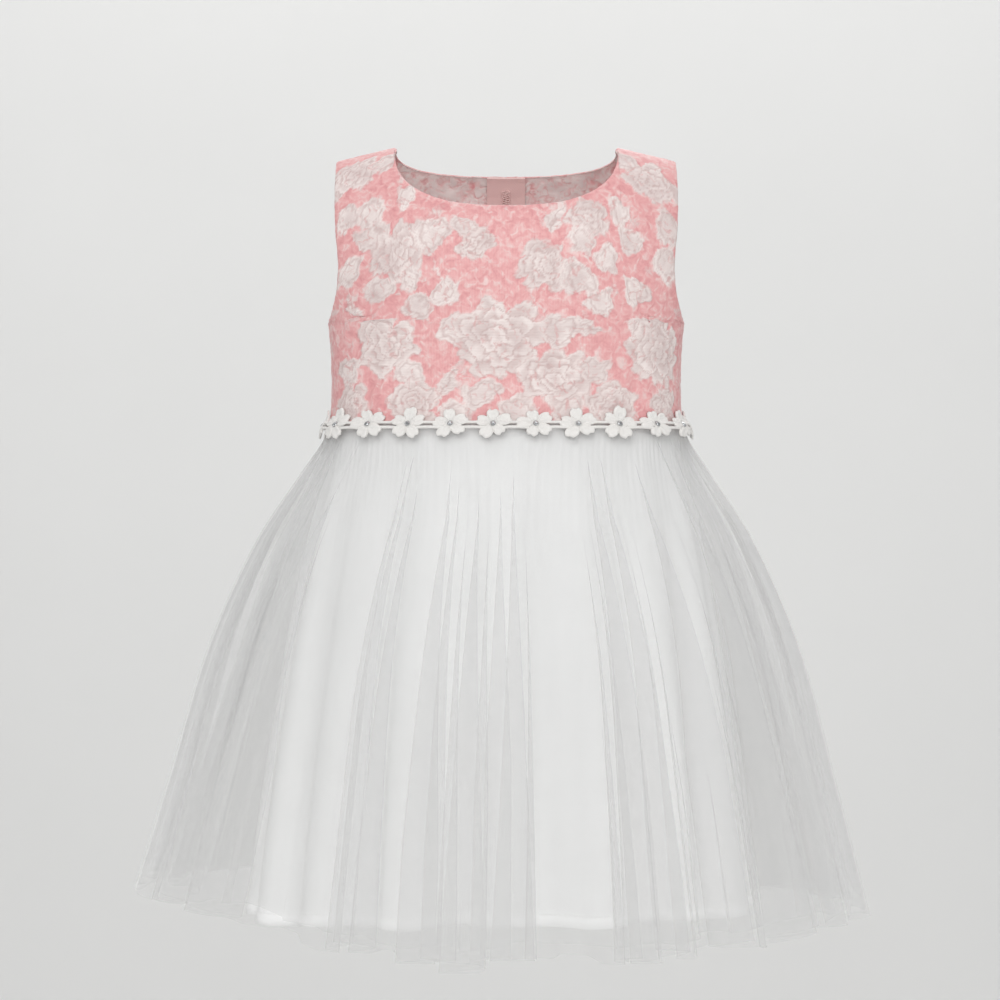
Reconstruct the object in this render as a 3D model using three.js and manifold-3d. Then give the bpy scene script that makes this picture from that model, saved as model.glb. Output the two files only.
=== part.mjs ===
// Toddler's sleeveless party dress, standing open as it is worn.
// A woven bodice with a scooped neck closes down the back with a zip. Below the waist hang a plain
// underskirt and two gathered layers of tulle, and a chain of lace flowers covers the waist seam.
//
// Millimetres. +Z is up, the front faces -Y and the wearer's left is +X. The origin is midway between
// the two shoulder seams, at the height of their neck ends.
import * as THREE from "three";
import { mergeVertices } from "three/addons/utils/BufferGeometryUtils.js";
import Module from "manifold-3d";

const wasm = await Module();
wasm.setup();

const FRONT = -1;
const BACK = 1;
const FULL_TURN = 2 * Math.PI;
const QUARTER = Math.PI / 2;
const DEGREE = Math.PI / 180;

// Cloth and seams
const SEAM_GAP = 0.3;
const BODICE_THICK = 1.5;
const SKIRT_THICK = 1.0;

// Bodice: the general figure that it stands on, from the waist seam up. Above the armpit the form runs
// out towards the arms, and the armholes cut that away.
const WAIST_Z = -180;
const ARMPIT_Z = -115;
const FORM = [
  { z: 10, width: 128, front: 66, back: 60 },
  { z: -60, width: 127, front: 66, back: 61 },
  { z: -115, width: 115.5, front: 66, back: 61 },
  { z: -150, width: 113.2, front: 65, back: 60 },
  { z: WAIST_Z, width: 114, front: 66, back: 60 },
];
const FORM_ROUND = 2.4;
const SHOULDER_ROLL = 95;

// Neck, shoulders and armholes
const NECK_HALF_WIDTH = 72;
const NECK_ROUND = 2.6;
const NECK_DROP = { [FRONT]: 42, [BACK]: 15 };
const SHOULDER_HALF_WIDTH = 110;
const SHOULDER_FALL = 9;
const ARMHOLE_BEND = 50;

// The bodice's mesh: the share of its columns that end at the neck edge, and its rows
const NECK_COLUMNS = 0.6;
const HALF_COLUMNS = 10;
const ROWS_BELOW_ARMPIT = 3;
const ROWS_ABOVE_ARMPIT = 9;

// Skirts, from the waist seam to the hem: half width, front and back depth, and how deep the folds are
const UNDERSKIRT = {
  sections: [
    { z: -180.3, width: 111.5, front: 63.5, back: 57.5, fold: 0 },
    { z: -205, width: 114.5, front: 65.5, back: 59.5, fold: 0.4 },
    { z: -250, width: 126, front: 72, back: 66, fold: 1.6 },
    { z: -330, width: 140, front: 80, back: 74, fold: 3.2 },
    { z: -410, width: 151, front: 87, back: 81, fold: 4.6 },
    { z: -492, width: 160, front: 93, back: 87, fold: 5.6 },
  ],
  spans: [
    { to: -90, folds: 0 },
    { to: 0, folds: 4 },
    { to: 90, folds: 4 },
    { to: 180, folds: 3 },
    { to: 270, folds: 3 },
  ],
  samples: 5,
  round: 2.1,
  uneven: 0.35,
  hemSwing: 1.5,
  sideLift: 0,
  phaseDrift: 2.1,
};
const TULLE_INNER = {
  sections: [
    { z: -180.3, width: 113.7, front: 65.7, back: 59.7, fold: 0 },
    { z: -190, width: 115, front: 67, back: 61, fold: 0.2 },
    { z: -212, width: 124, front: 74, back: 68, fold: 1.4 },
    { z: -262, width: 148, front: 91, back: 85, fold: 2.8 },
    { z: -340, width: 172, front: 110, back: 104, fold: 4 },
    { z: -415, width: 194, front: 122, back: 116, fold: 4.6 },
    { z: -498, width: 212, front: 133, back: 127, fold: 5 },
  ],
  spans: [
    { to: -90, folds: 0 },
    { to: -35, folds: 4 },
    { to: 30, folds: 4 },
    { to: 90, folds: 4 },
    { to: 180, folds: 5 },
    { to: 270, folds: 5 },
  ],
  samples: 5,
  round: 2.1,
  uneven: 0.3,
  hemSwing: 1.5,
  sideLift: 10,
  phaseDrift: 1.3,
};
const TULLE_OUTER = {
  sections: [
    { z: -180.3, width: 116.1, front: 68.1, back: 62.1, fold: 0 },
    { z: -190, width: 117.9, front: 69.9, back: 63.9, fold: 0.2 },
    { z: -210, width: 130, front: 80.5, back: 74.5, fold: 2 },
    { z: -255, width: 158, front: 101, back: 95, fold: 3.8 },
    { z: -325, width: 187, front: 123, back: 117, fold: 5.3 },
    { z: -415, width: 210, front: 139, back: 133, fold: 6.2 },
    { z: -503, width: 231, front: 152, back: 146, fold: 6.6 },
  ],
  spans: [
    { to: -90, folds: 0 },
    { to: -46, folds: 3 },
    { to: -29, folds: 1 },
    { to: -21, folds: 2 },
    { to: -13, folds: 1 },
    { to: 6, folds: 4 },
    { to: 18, folds: 1 },
    { to: 29, folds: 2 },
    { to: 38, folds: 1 },
    { to: 90, folds: 4 },
    { to: 128, folds: 2 },
    { to: 145, folds: 1 },
    { to: 180, folds: 4 },
    { to: 202, folds: 1 },
    { to: 240, folds: 3 },
    { to: 270, folds: 2 },
  ],
  samples: 6,
  gathers: { depth: 0.5, perFold: 2, fadesOver: 45 },
  round: 2.1,
  uneven: 0.28,
  hemSwing: 2.5,
  sideLift: 12,
  phaseDrift: 2.4,
};

// How far below the waist the skirts have left the bodice's section, and how much faster the hem's
// unevenness drifts from fold to fold than the folds' own depth
const FLARE_LENGTH = 60;
const HEM_DRIFT = 1.7;

// Waist trim: a row of lace flowers with its ends at the centre back. Its back lies close to the bodice
// above the seam and out over the gathers below it.
const FLOWERS = 22;
const PETALS = 5;
const PETAL = { reach: 11.2, shoulder: 0.84, shoulderTurn: 21, notch: 0.42 };
const LINK_WIDTH = 2.6;
const TRIM_THICK = 1.8;
const TRIM_END_GAP = 3;
const TRIM_LIES = [
  { z: -168, out: 0.6 },
  { z: -176, out: 0.9 },
  { z: -181, out: 4.3 },
  { z: -190, out: 6.3 },
];

// Zip: a tape inside the centre back, a slider near the neck and its pull tab
const TAPE = { width: 24, thick: 1.0, top: -16 };
const SLIDER = { z: -25, width: 5.6, length: 9, thick: 1.4, nose: 3, tail: 3.4, chamfer: 1 };
const BRIDGE = { width: 1.2, bar: 1.0, reach: 3.2, height: 2.6 };
const PULL = { length: 20, width: 5.4, neck: 4.4, tip: 3.6, thick: 0.9, rim: 0.9, eye: 4.4, eyeWidth: 2.4 };
const PULL_AXIS_HEIGHT = 1.35;
const SLIDER_STANDS_OFF = 0.3;

// Colours of the real cloths
const cloth = (color, roughness, extra = {}) =>
  new THREE.MeshStandardMaterial({ color, roughness, metalness: 0, ...extra });
const JACQUARD = cloth("#e9a9a9", 0.7);
const SATIN = cloth("#f4f3f1", 0.5);
const NET = cloth("#f1f1f0", 0.8, { transparent: true, opacity: 0.5, side: THREE.DoubleSide });
const LACE = cloth("#f7f5f2", 0.8);
const TAPE_CLOTH = cloth("#f0d6d2", 0.8);
const ZIP_METAL = new THREE.MeshStandardMaterial({ color: "#e6c9c4", roughness: 0.35, metalness: 0.6 });

const mix = (a, b, share) => a + (b - a) * share;
const smooth = (share) => share * share * (3 - 2 * share);

/** A table's column at height z, on a smooth curve through its rows, which run from the top down. */
function along(table, column, z) {
  const last = table.length - 1;
  let k = table.findIndex((row, i) => i < last && z >= table[i + 1].z);
  if (k < 0) k = last - 1;
  const slope = (i) => {
    const above = table[Math.max(i - 1, 0)];
    const below = table[Math.min(i + 1, last)];
    return (below[column] - above[column]) / (below.z - above.z);
  };
  const span = table[k + 1].z - table[k].z;
  const t = Math.min(Math.max((z - table[k].z) / span, 0), 1);
  const bend = t * (1 - t) * span;
  return (
    mix(table[k][column], table[k + 1][column], smooth(t)) +
    bend * ((1 - t) * slope(k) - t * slope(k + 1))
  );
}

/** The height of the shoulder's ridge at a distance from the middle. */
function ridge(x) {
  const share = (Math.abs(x) - NECK_HALF_WIDTH) / (SHOULDER_HALF_WIDTH - NECK_HALF_WIDTH);
  return -SHOULDER_FALL * Math.max(share, 0);
}

/** A point of the bodice's outer face, by its angle from the centre front or back and its height. */
function figure(facing, angle, z) {
  const width = along(FORM, "width", z);
  const depth = along(FORM, facing === FRONT ? "front" : "back", z);
  const x = Math.sign(angle) * width * Math.sin(Math.abs(angle)) ** (2 / FORM_ROUND);
  const drop = Math.min(Math.max((ridge(x) - z) / SHOULDER_ROLL, 0), 1);
  const roll = Math.sqrt(1 - (1 - drop) ** 2);
  const out = depth * roll * Math.max(Math.cos(angle), 0) ** (2 / FORM_ROUND);
  return new THREE.Vector3(x, facing * (SEAM_GAP / 2 + out), z);
}

/** The angle at which the figure is x wide at height z. */
const angleAt = (x, z) => Math.asin(Math.min(x / along(FORM, "width", z), 1) ** (FORM_ROUND / 2));

/** The angle of the panel's outer edge at height z: the side seam, and the armhole above the armpit. */
function outerAngle(z) {
  const shoulder = angleAt(SHOULDER_HALF_WIDTH, -SHOULDER_FALL);
  const share = Math.min(Math.max((z - ARMPIT_Z) / ARMHOLE_BEND, 0), 1);
  return mix(shoulder, QUARTER, 1 - Math.sqrt(1 - (1 - share) ** 2));
}

/** The top of a bodice column: on the neck edge for the inner columns and on the shoulder seam outside. */
function columnTop(facing, m) {
  if (m > NECK_COLUMNS) {
    const x = mix(NECK_HALF_WIDTH, SHOULDER_HALF_WIDTH, (m - NECK_COLUMNS) / (1 - NECK_COLUMNS));
    return { x, z: ridge(x) };
  }
  const turn = (m / NECK_COLUMNS) * QUARTER;
  return {
    x: NECK_HALF_WIDTH * Math.sin(turn) ** (2 / NECK_ROUND),
    z: -NECK_DROP[facing] * Math.max(Math.cos(turn), 0) ** (2 / NECK_ROUND),
  };
}

/** The way out of the bodice at a point of its outer face. */
function figureNormal(facing, angle, z) {
  const angleStep = 0.02;
  const heightStep = 0.5;
  const across = figure(facing, angle + angleStep, z).sub(figure(facing, angle - angleStep, z));
  const up = figure(facing, angle, z + heightStep).sub(figure(facing, angle, z - heightStep));
  const normal = facing === FRONT ? across.cross(up) : up.cross(across);
  return normal.normalize();
}

/** A place on a bodice panel, by its share of the half width, -1 to 1, and of the height, 0 to 1. */
function panelPlace(facing, u, v) {
  const m = Math.abs(u);
  const top = columnTop(facing, m);
  const topShare = angleAt(top.x, top.z) / outerAngle(top.z);
  const z = mix(WAIST_Z, top.z, v);
  return { angle: Math.sign(u) * mix(m, topShare, smooth(v)) * outerAngle(z), z };
}

/** The rows' shares of the height, closer together just above the armpit and under the shoulder. */
function rowShares() {
  const armpit = (ARMPIT_Z - WAIST_Z) / (-SHOULDER_FALL - WAIST_Z);
  const shares = [];
  for (let j = 0; j < ROWS_BELOW_ARMPIT; j++) shares.push((armpit * j) / ROWS_BELOW_ARMPIT);
  for (let j = 0; j <= ROWS_ABOVE_ARMPIT; j++)
    shares.push(mix(armpit, 1, (1 - Math.cos((Math.PI * j) / ROWS_ABOVE_ARMPIT)) / 2));
  return shares;
}

/** The unit normals of a grid of points, columns by rows. flatten drops a normal's part across a seam. */
function gridNormals(grid, flatten) {
  const columns = grid.length - 1;
  const rows = grid[0].length - 1;
  return grid.map((column, i) =>
    column.map((_, j) => {
      const across = grid[Math.min(i + 1, columns)][j].clone().sub(grid[Math.max(i - 1, 0)][j]);
      const up = column[Math.min(j + 1, rows)].clone().sub(column[Math.max(j - 1, 0)]);
      const normal = across.cross(up);
      flatten(normal, i, j, columns, rows);
      return normal.normalize();
    }),
  );
}

const moved = (grid, normals, distance) =>
  grid.map((column, i) => column.map((p, j) => p.clone().addScaledVector(normals[i][j], distance)));

/** A closed wall between two grids of points: its two faces and its four rims. */
function wall(outside, inside) {
  const columns = outside.length;
  const rows = outside[0].length;
  const positions = [...outside.flat(), ...inside.flat()].flatMap((p) => p.toArray());
  const at = (side, i, j) => side * columns * rows + i * rows + j;
  const faces = [];
  const quad = (a, b, c, d) => faces.push(a, b, c, a, c, d);
  for (let i = 0; i < columns - 1; i++) {
    for (let j = 0; j < rows - 1; j++) {
      quad(at(0, i, j), at(0, i + 1, j), at(0, i + 1, j + 1), at(0, i, j + 1));
      quad(at(1, i, j), at(1, i, j + 1), at(1, i + 1, j + 1), at(1, i + 1, j));
    }
    quad(at(0, i, 0), at(1, i, 0), at(1, i + 1, 0), at(0, i + 1, 0));
    quad(at(0, i, rows - 1), at(0, i + 1, rows - 1), at(1, i + 1, rows - 1), at(1, i, rows - 1));
  }
  for (let j = 0; j < rows - 1; j++) {
    const end = columns - 1;
    quad(at(0, 0, j), at(0, 0, j + 1), at(1, 0, j + 1), at(1, 0, j));
    quad(at(0, end, j), at(1, end, j), at(1, end, j + 1), at(0, end, j + 1));
  }
  return new THREE.BufferGeometry()
    .setAttribute("position", new THREE.Float32BufferAttribute(positions, 3))
    .setIndex(faces);
}

function named(name, geometry, material) {
  const mesh = new THREE.Mesh(geometry, material);
  mesh.name = name;
  return mesh;
}

/** A bodice panel as grids of points, the whole front or the back's left half, and its ways inward. */
function panelFaces(facing) {
  const shift = new THREE.Vector3(facing === FRONT ? 0 : SEAM_GAP / 2, 0, 0);
  const shares = rowShares();
  const outside = [];
  const inward = [];
  for (let i = facing === FRONT ? -HALF_COLUMNS : 0; i <= HALF_COLUMNS; i++) {
    const u = i / HALF_COLUMNS;
    const places = shares.map((v) => panelPlace(facing, u, v));
    outside.push(places.map(({ angle, z }) => figure(facing, angle, z).add(shift)));
    inward.push(
      places.map(({ angle, z }, j) => {
        const way = figureNormal(facing, angle, z).negate();
        const sideSeam = Math.abs(u) === 1 && z < ARMPIT_Z + 1;
        const shoulderSeam = j === shares.length - 1 && Math.abs(u) >= NECK_COLUMNS;
        if (sideSeam || shoulderSeam) way.y = 0;
        if (facing === BACK && i === 0) way.x = 0;
        if (j === 0) way.z = 0;
        return way.normalize();
      }),
    );
  }
  return { outside, inward, inside: moved(outside, inward, BODICE_THICK) };
}

/** One bodice panel as a closed wall. */
function bodicePanel(facing) {
  const { outside, inside } = panelFaces(facing);
  return facing === FRONT ? wall(outside, inside) : wall(inside, outside);
}

/** A geometry mirrored across the middle of the dress, with its faces turned to point out again. */
function mirrored(geometry) {
  const made = geometry.clone().scale(-1, 1, 1);
  const index = made.index.array;
  for (let i = 0; i < index.length; i += 3) [index[i + 1], index[i + 2]] = [index[i + 2], index[i + 1]];
  return made;
}

/** The columns of a skirt between two side angles: each one's angle and its phase, in whole folds. */
function skirtColumns({ spans, samples }, from, to) {
  const columns = [{ angle: from, phase: 0 }];
  let folds = 0;
  for (let k = 1; k < spans.length; k++) {
    const before = spans[k - 1].to;
    for (let n = 1; n <= spans[k].folds * samples; n++) {
      const share = n / (spans[k].folds * samples);
      const angle = mix(before, spans[k].to, share);
      const phase = folds + n / samples;
      if (Math.abs(angle - from) < 1e-6) columns[0].phase = phase;
      else if (angle > from && angle < to + 1e-6) columns.push({ angle, phase });
    }
    folds += spans[k].folds;
  }
  return columns;
}

/** A point on the middle of a skirt's cloth, by the way that its panel faces, its column and height. */
function skirtPoint(skirt, facing, { angle, phase }, z) {
  const turn = angle * DEGREE;
  const top = skirt.sections[0].z;
  const flare = Math.min((top - z) / FLARE_LENGTH, 1);
  const power = 2 / mix(FORM_ROUND, skirt.round, flare);
  const width = along(skirt.sections, "width", z);
  const depth = along(skirt.sections, facing === FRONT ? "front" : "back", z);
  const fold = along(skirt.sections, "fold", z);
  const unevenness = 1 + skirt.uneven * Math.sin(skirt.phaseDrift * phase);
  let crest = fold * unevenness * Math.cos(FULL_TURN * phase);
  if (skirt.gathers) {
    const { depth: gatherDepth, perFold, fadesOver } = skirt.gathers;
    const left = Math.max(1 - (top - z) / fadesOver, 0);
    crest += left * gatherDepth * Math.cos(FULL_TURN * phase * perFold);
  }
  const sine = Math.sin(turn);
  const cosine = Math.abs(Math.cos(turn)) < 1e-9 ? 0 : Math.abs(Math.cos(turn));
  return new THREE.Vector3(
    Math.sign(sine) * (width + crest) * Math.abs(sine) ** power,
    facing * (SEAM_GAP / 2 + (depth + crest) * cosine ** power),
    z,
  );
}

/** One panel of a skirt between two angles, from side seam to side seam or to the centre back. */
function skirtPanel(skirt, from, to) {
  const hem = skirt.sections.at(-1).z;
  const top = skirt.sections[0].z;
  const columns = skirtColumns(skirt, from, to);
  const facing = from < 90 ? FRONT : BACK;
  const onBackSeam = (angle) => Math.abs(angle - 180) < 1e-6;
  const grid = columns.map((column) =>
    skirt.sections.map(({ z }) => {
      const p = skirtPoint(skirt, facing, column, z);
      const share = (top - z) / (top - hem);
      const swing = skirt.hemSwing * Math.sin(HEM_DRIFT * skirt.phaseDrift * column.phase);
      p.z += share ** 3 * (swing + skirt.sideLift * Math.sin(column.angle * DEGREE) ** 2);
      if (facing === BACK) p.x += (to > 180 ? -1 : 1) * (SEAM_GAP / 2);
      return p;
    }),
  );
  const normals = gridNormals(grid, (normal, i, j, lastColumn) => {
    const atEnd = i === 0 || i === lastColumn;
    if (atEnd && onBackSeam(columns[i].angle)) normal.x = 0;
    else if (atEnd) normal.y = 0;
    if (j === 0) normal.z = 0;
  });
  const half = SKIRT_THICK / 2;
  // Columns run anticlockwise from above and rows run down, so these normals point into the skirt.
  return wall(moved(grid, normals, half), moved(grid, normals, -half));
}

/** The three panels of a skirt: the front, and the back in two halves that meet under the zip. */
function skirtPanels(name, skirt, material) {
  const cuts = [
    { part: "front", from: -90, to: 90 },
    { part: "back_left", from: 90, to: 180 },
    { part: "back_right", from: 180, to: 270 },
  ];
  return cuts.map(({ part, from, to }) => named(`${name}_${part}`, skirtPanel(skirt, from, to), material));
}

/** The line round the waist seam from the centre back, with the length along it up to each point. */
function waistLine() {
  const steps = 360;
  const points = [];
  for (let k = 0; k <= steps; k++) {
    const turn = Math.PI + (FULL_TURN * k) / steps;
    const facing = Math.cos(turn) > 0 ? FRONT : BACK;
    const angle = Math.asin(Math.min(Math.abs(Math.sin(turn)), 1));
    points.push(figure(facing, Math.sign(Math.sin(turn)) * angle, WAIST_Z));
  }
  const lengths = [0];
  for (let k = 1; k <= steps; k++) lengths.push(lengths[k - 1] + points[k].distanceTo(points[k - 1]));
  return { points, lengths, total: lengths[steps] };
}

/** Bends the flat trim, which runs along +X with +Y up and +Z out, round the waist. */
function bentRoundWaist(geometry, line) {
  const position = geometry.getAttribute("position");
  const steps = line.points.length - 1;
  for (let n = 0; n < position.count; n++) {
    const run = position.getX(n) + TRIM_END_GAP / 2;
    const z = WAIST_Z + position.getY(n);
    const out = position.getZ(n) + along(TRIM_LIES, "out", z);
    let k = line.lengths.findIndex((length) => length > run) - 1;
    k = Math.min(Math.max(k, 0), steps - 1);
    const share = (run - line.lengths[k]) / (line.lengths[k + 1] - line.lengths[k]);
    const spot = line.points[k].clone().lerp(line.points[k + 1], share);
    const before = line.points[Math.max(k - 3, 0)];
    const after = line.points[Math.min(k + 4, steps)];
    const ahead = after.clone().sub(before).normalize();
    // The line runs anticlockwise seen from above, from the back by the wearer's right side to the front.
    spot.add(new THREE.Vector3(ahead.y, -ahead.x, 0).multiplyScalar(out));
    position.setXYZ(n, spot.x, spot.y, z);
  }
  return geometry;
}

/** A geometry as a solid that can be joined to others. */
function solidOf(geometry) {
  const bare = geometry.clone();
  bare.deleteAttribute("normal");
  bare.deleteAttribute("uv");
  const merged = mergeVertices(bare, 1e-4);
  return new wasm.Manifold(
    new wasm.Mesh({
      numProp: 3,
      vertProperties: new Float32Array(merged.attributes.position.array),
      triVerts: new Uint32Array(merged.index.array),
    }),
  );
}

/** A joined solid as a geometry again. */
function geometryOf(solid) {
  const { numProp, vertProperties, triVerts } = solid.getMesh();
  const positions = [];
  for (let i = 0; i < vertProperties.length; i += numProp)
    positions.push(vertProperties[i], vertProperties[i + 1], vertProperties[i + 2]);
  return new THREE.BufferGeometry()
    .setAttribute("position", new THREE.Float32BufferAttribute(positions, 3))
    .setIndex(new THREE.Uint32BufferAttribute(triVerts, 1));
}

const joined = (geometries) => geometries.map(solidOf).reduce((all, one) => all.add(one));

/** A box by its centre and size, with its back face at the given depth. */
function slab(x, y, width, height, back, thick) {
  return new THREE.BoxGeometry(width, height, thick).translate(x, y, back + thick / 2);
}

/** One edge of a flower from its left side petal to its right one, over the top or round below. */
function flowerEdge(middle, over) {
  const petalTurn = 360 / PETALS;
  const tip = 90 + petalTurn;
  const end = over ? 90 - petalTurn : 90 - petalTurn + 360;
  const way = over ? -1 : 1;
  const at = (turn, reach) =>
    new THREE.Vector2(reach * Math.cos(turn * DEGREE), reach * Math.sin(turn * DEGREE));
  const linkEnd = (turn) => at(turn, PETAL.reach).add(new THREE.Vector2(0, (-way * LINK_WIDTH) / 2));
  const edge = [linkEnd(tip)];
  for (let turn = tip; way * (end - turn) > 1; turn += way * petalTurn) {
    if (turn !== tip) edge.push(at(turn, PETAL.reach));
    edge.push(at(turn + way * PETAL.shoulderTurn, PETAL.reach * PETAL.shoulder));
    edge.push(at(turn + (way * petalTurn) / 2, PETAL.reach * PETAL.notch));
    edge.push(at(turn + way * (petalTurn - PETAL.shoulderTurn), PETAL.reach * PETAL.shoulder));
  }
  edge.push(linkEnd(end));
  return edge.map((p) => new THREE.Vector2(p.x + middle, p.y));
}

/** The flower trim: a row of flat flowers, joined at the tips of their side petals, bent round. */
function waistTrim() {
  const line = waistLine();
  const pitch = (line.total - TRIM_END_GAP) / FLOWERS;
  const points = [];
  const faces = [];
  const edges = [];
  const top = flowerEdge(0, true).length - 1;
  const ring = top + flowerEdge(0, false).length + 1;
  for (let k = 0; k < FLOWERS; k++) {
    const middle = (k + 0.5) * pitch;
    const centre = points.length;
    const at = (n) => centre + 1 + n;
    points.push(new THREE.Vector2(middle, 0));
    // Anticlockwise: from the right link over the top to the left link, and round below
    points.push(...flowerEdge(middle, true).reverse(), ...flowerEdge(middle, false));
    for (let n = 0; n < ring; n++) {
      faces.push([centre, at(n), at((n + 1) % ring)]);
      const linked = (n === top && k > 0) || (n === ring - 1 && k < FLOWERS - 1);
      if (!linked) edges.push([at(n), at((n + 1) % ring)]);
    }
    if (k === 0) continue;
    const [rightTop, rightBelow] = [at(0) - ring - 1, at(ring - 1) - ring - 1];
    faces.push([rightBelow, at(top + 1), at(top)], [rightBelow, at(top), rightTop]);
    edges.push([rightBelow, at(top + 1)], [at(top), rightTop]);
  }
  const count = points.length;
  const positions = [0, TRIM_THICK].flatMap((out) => points.flatMap((p) => [p.x, p.y, out]));
  const index = faces.flatMap(([a, b, c]) => [a + count, b + count, c + count, a, c, b]);
  for (const [a, b] of edges) index.push(a, b, b + count, a, b + count, a + count);
  const flat = new THREE.BufferGeometry()
    .setAttribute("position", new THREE.Float32BufferAttribute(positions, 3))
    .setIndex(index);
  return bentRoundWaist(flat, line);
}

/** The zip tape, on the inside of the back: it is made from the inner faces of the two halves. */
function zipTape() {
  const { inside, inward } = panelFaces(BACK);
  const rows = inside[0].map((_, j) => j).filter((j) => inside[0][j].z < TAPE.top);
  const share = TAPE.width / 2 / inside[1][0].x;
  const strip = (distance) =>
    [-1, 0, 1].map((side) =>
      rows.map((j) => {
        const middle = inside[0][j].clone().addScaledVector(inward[0][j], distance);
        const beyond = inside[1][j].clone().addScaledVector(inward[1][j], distance);
        const point = middle.lerp(beyond, side === 0 ? 0 : share);
        return side === 0 ? point.setX(0) : point.setX(side * point.x);
      }),
    );
  return wall(strip(SEAM_GAP + TAPE.thick), strip(SEAM_GAP));
}

/** The slider, lying in the XY plane with +Y up the zip and +Z out: a plate with a bridge over it. */
function zipSlider() {
  const { nose, tail, chamfer } = SLIDER;
  const half = SLIDER.width / 2;
  const end = SLIDER.length / 2;
  const outline = [
    [-tail / 2, -end],
    [tail / 2, -end],
    [half, -end + nose],
    [half, end - chamfer],
    [half - chamfer, end],
    [-half + chamfer, end],
    [-half, end - chamfer],
    [-half, -end + nose],
  ].map(([x, y]) => new THREE.Vector2(x, y));
  const plate = new THREE.ExtrudeGeometry(new THREE.Shape(outline), {
    depth: SLIDER.thick,
    bevelEnabled: false,
  });
  const { width, bar, reach, height } = BRIDGE;
  const leg = (y) => slab(0, y, width, bar, SLIDER.thick / 2, SLIDER.thick / 2 + height + bar);
  const top = slab(0, 0, width, 2 * reach + bar, SLIDER.thick + height, bar);
  return geometryOf(joined([plate, leg(-reach), leg(reach), top]));
}

/** The pull tab, lying flat with its eye's rim on the hinge line at the origin. */
function zipPull() {
  const { length, width, neck, tip, thick, rim, eye, eyeWidth } = PULL;
  const end = rim / 2 - length;
  const shoulder = end + width / 2;
  const outline = [
    [-neck / 2, rim / 2],
    [-neck / 2, -eye],
    [-width / 2, shoulder],
    [-tip / 2, end],
    [tip / 2, end],
    [width / 2, shoulder],
    [neck / 2, -eye],
    [neck / 2, rim / 2],
  ];
  const hole = [
    [-eyeWidth / 2, -rim / 2],
    [eyeWidth / 2, -rim / 2],
    [eyeWidth / 2, -rim / 2 - eye],
    [-eyeWidth / 2, -rim / 2 - eye],
  ];
  const flat = (points) => points.map(([x, y]) => new THREE.Vector2(x, y));
  const shape = new THREE.Shape(flat(outline));
  shape.holes.push(new THREE.Path(flat(hole)));
  const tab = new THREE.ExtrudeGeometry(shape, { depth: thick, bevelEnabled: false });
  return tab.translate(0, 0, -thick / 2);
}

/** The slider and its pull, lying on the outside of the back at the centre. */
function zipHead() {
  const spot = figure(BACK, 0, SLIDER.z);
  const below = figure(BACK, 0, SLIDER.z - SLIDER.length);
  const above = figure(BACK, 0, SLIDER.z + SLIDER.length / 2);
  const up = above.clone().sub(below).normalize();
  const outward = new THREE.Vector3(0, up.z, -up.y);
  const right = up.clone().cross(outward);
  const head = new THREE.Group();
  head.applyMatrix4(new THREE.Matrix4().makeBasis(right, up, outward).setPosition(spot));
  const slider = named("zip_slider", zipSlider(), ZIP_METAL);
  slider.position.z = SLIDER_STANDS_OFF;
  const pull = named("zip_pull", zipPull(), ZIP_METAL);
  pull.position.z = SLIDER_STANDS_OFF + SLIDER.thick + PULL_AXIS_HEIGHT;
  head.add(slider, pull);
  return head;
}

const dress = new THREE.Group();
dress.add(
  named("bodice_front", bodicePanel(FRONT), JACQUARD),
  named("bodice_back_left", bodicePanel(BACK), JACQUARD),
  named("bodice_back_right", mirrored(bodicePanel(BACK)), JACQUARD),
  ...skirtPanels("underskirt", UNDERSKIRT, SATIN),
  ...skirtPanels("tulle_inner", TULLE_INNER, NET),
  ...skirtPanels("tulle_outer", TULLE_OUTER, NET),
  named("flower_trim", waistTrim(), LACE),
  named("zip_tape", zipTape(), TAPE_CLOTH),
  zipHead(),
);

export default dress;
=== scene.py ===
import math

import bpy
import numpy as np
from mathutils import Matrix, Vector


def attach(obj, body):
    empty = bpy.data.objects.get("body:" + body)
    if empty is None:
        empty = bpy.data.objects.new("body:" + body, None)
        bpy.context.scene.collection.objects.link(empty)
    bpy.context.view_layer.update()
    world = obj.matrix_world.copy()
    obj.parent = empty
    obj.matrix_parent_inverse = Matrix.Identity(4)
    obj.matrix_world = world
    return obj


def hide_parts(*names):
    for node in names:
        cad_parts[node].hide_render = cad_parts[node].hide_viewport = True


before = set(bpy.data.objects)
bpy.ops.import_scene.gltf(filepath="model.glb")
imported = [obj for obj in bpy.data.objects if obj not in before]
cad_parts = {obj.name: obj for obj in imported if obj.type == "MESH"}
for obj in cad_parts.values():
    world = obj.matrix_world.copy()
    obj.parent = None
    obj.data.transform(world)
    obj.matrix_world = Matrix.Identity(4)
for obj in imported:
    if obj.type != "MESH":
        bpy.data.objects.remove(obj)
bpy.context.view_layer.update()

MM = 0.001
FRONT, BACK = -1, 1
FULL_TURN = 2 * math.pi
QUARTER = math.pi / 2


def table(columns, *rows):
    """A short table as a list of rows with named columns."""
    return [dict(zip(columns.split(), row)) for row in rows]


# Cloth and seams
SEAM_GAP = 0.3
BODICE_THICK = 1.1
SATIN_THICK = 0.5

# Bodice: the general figure that it stands on, from the waist seam up
WAIST_Z = -180
ARMPIT_Z = -115
FORM = table(
    "z width front back",
    (10, 128, 66, 60),
    (-60, 127, 66, 61),
    (-115, 115.5, 66, 61),
    (-150, 113.2, 65, 60),
    (WAIST_Z, 114, 66, 60),
)
FORM_ROUND = 2.4
SHOULDER_ROLL = 95

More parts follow.
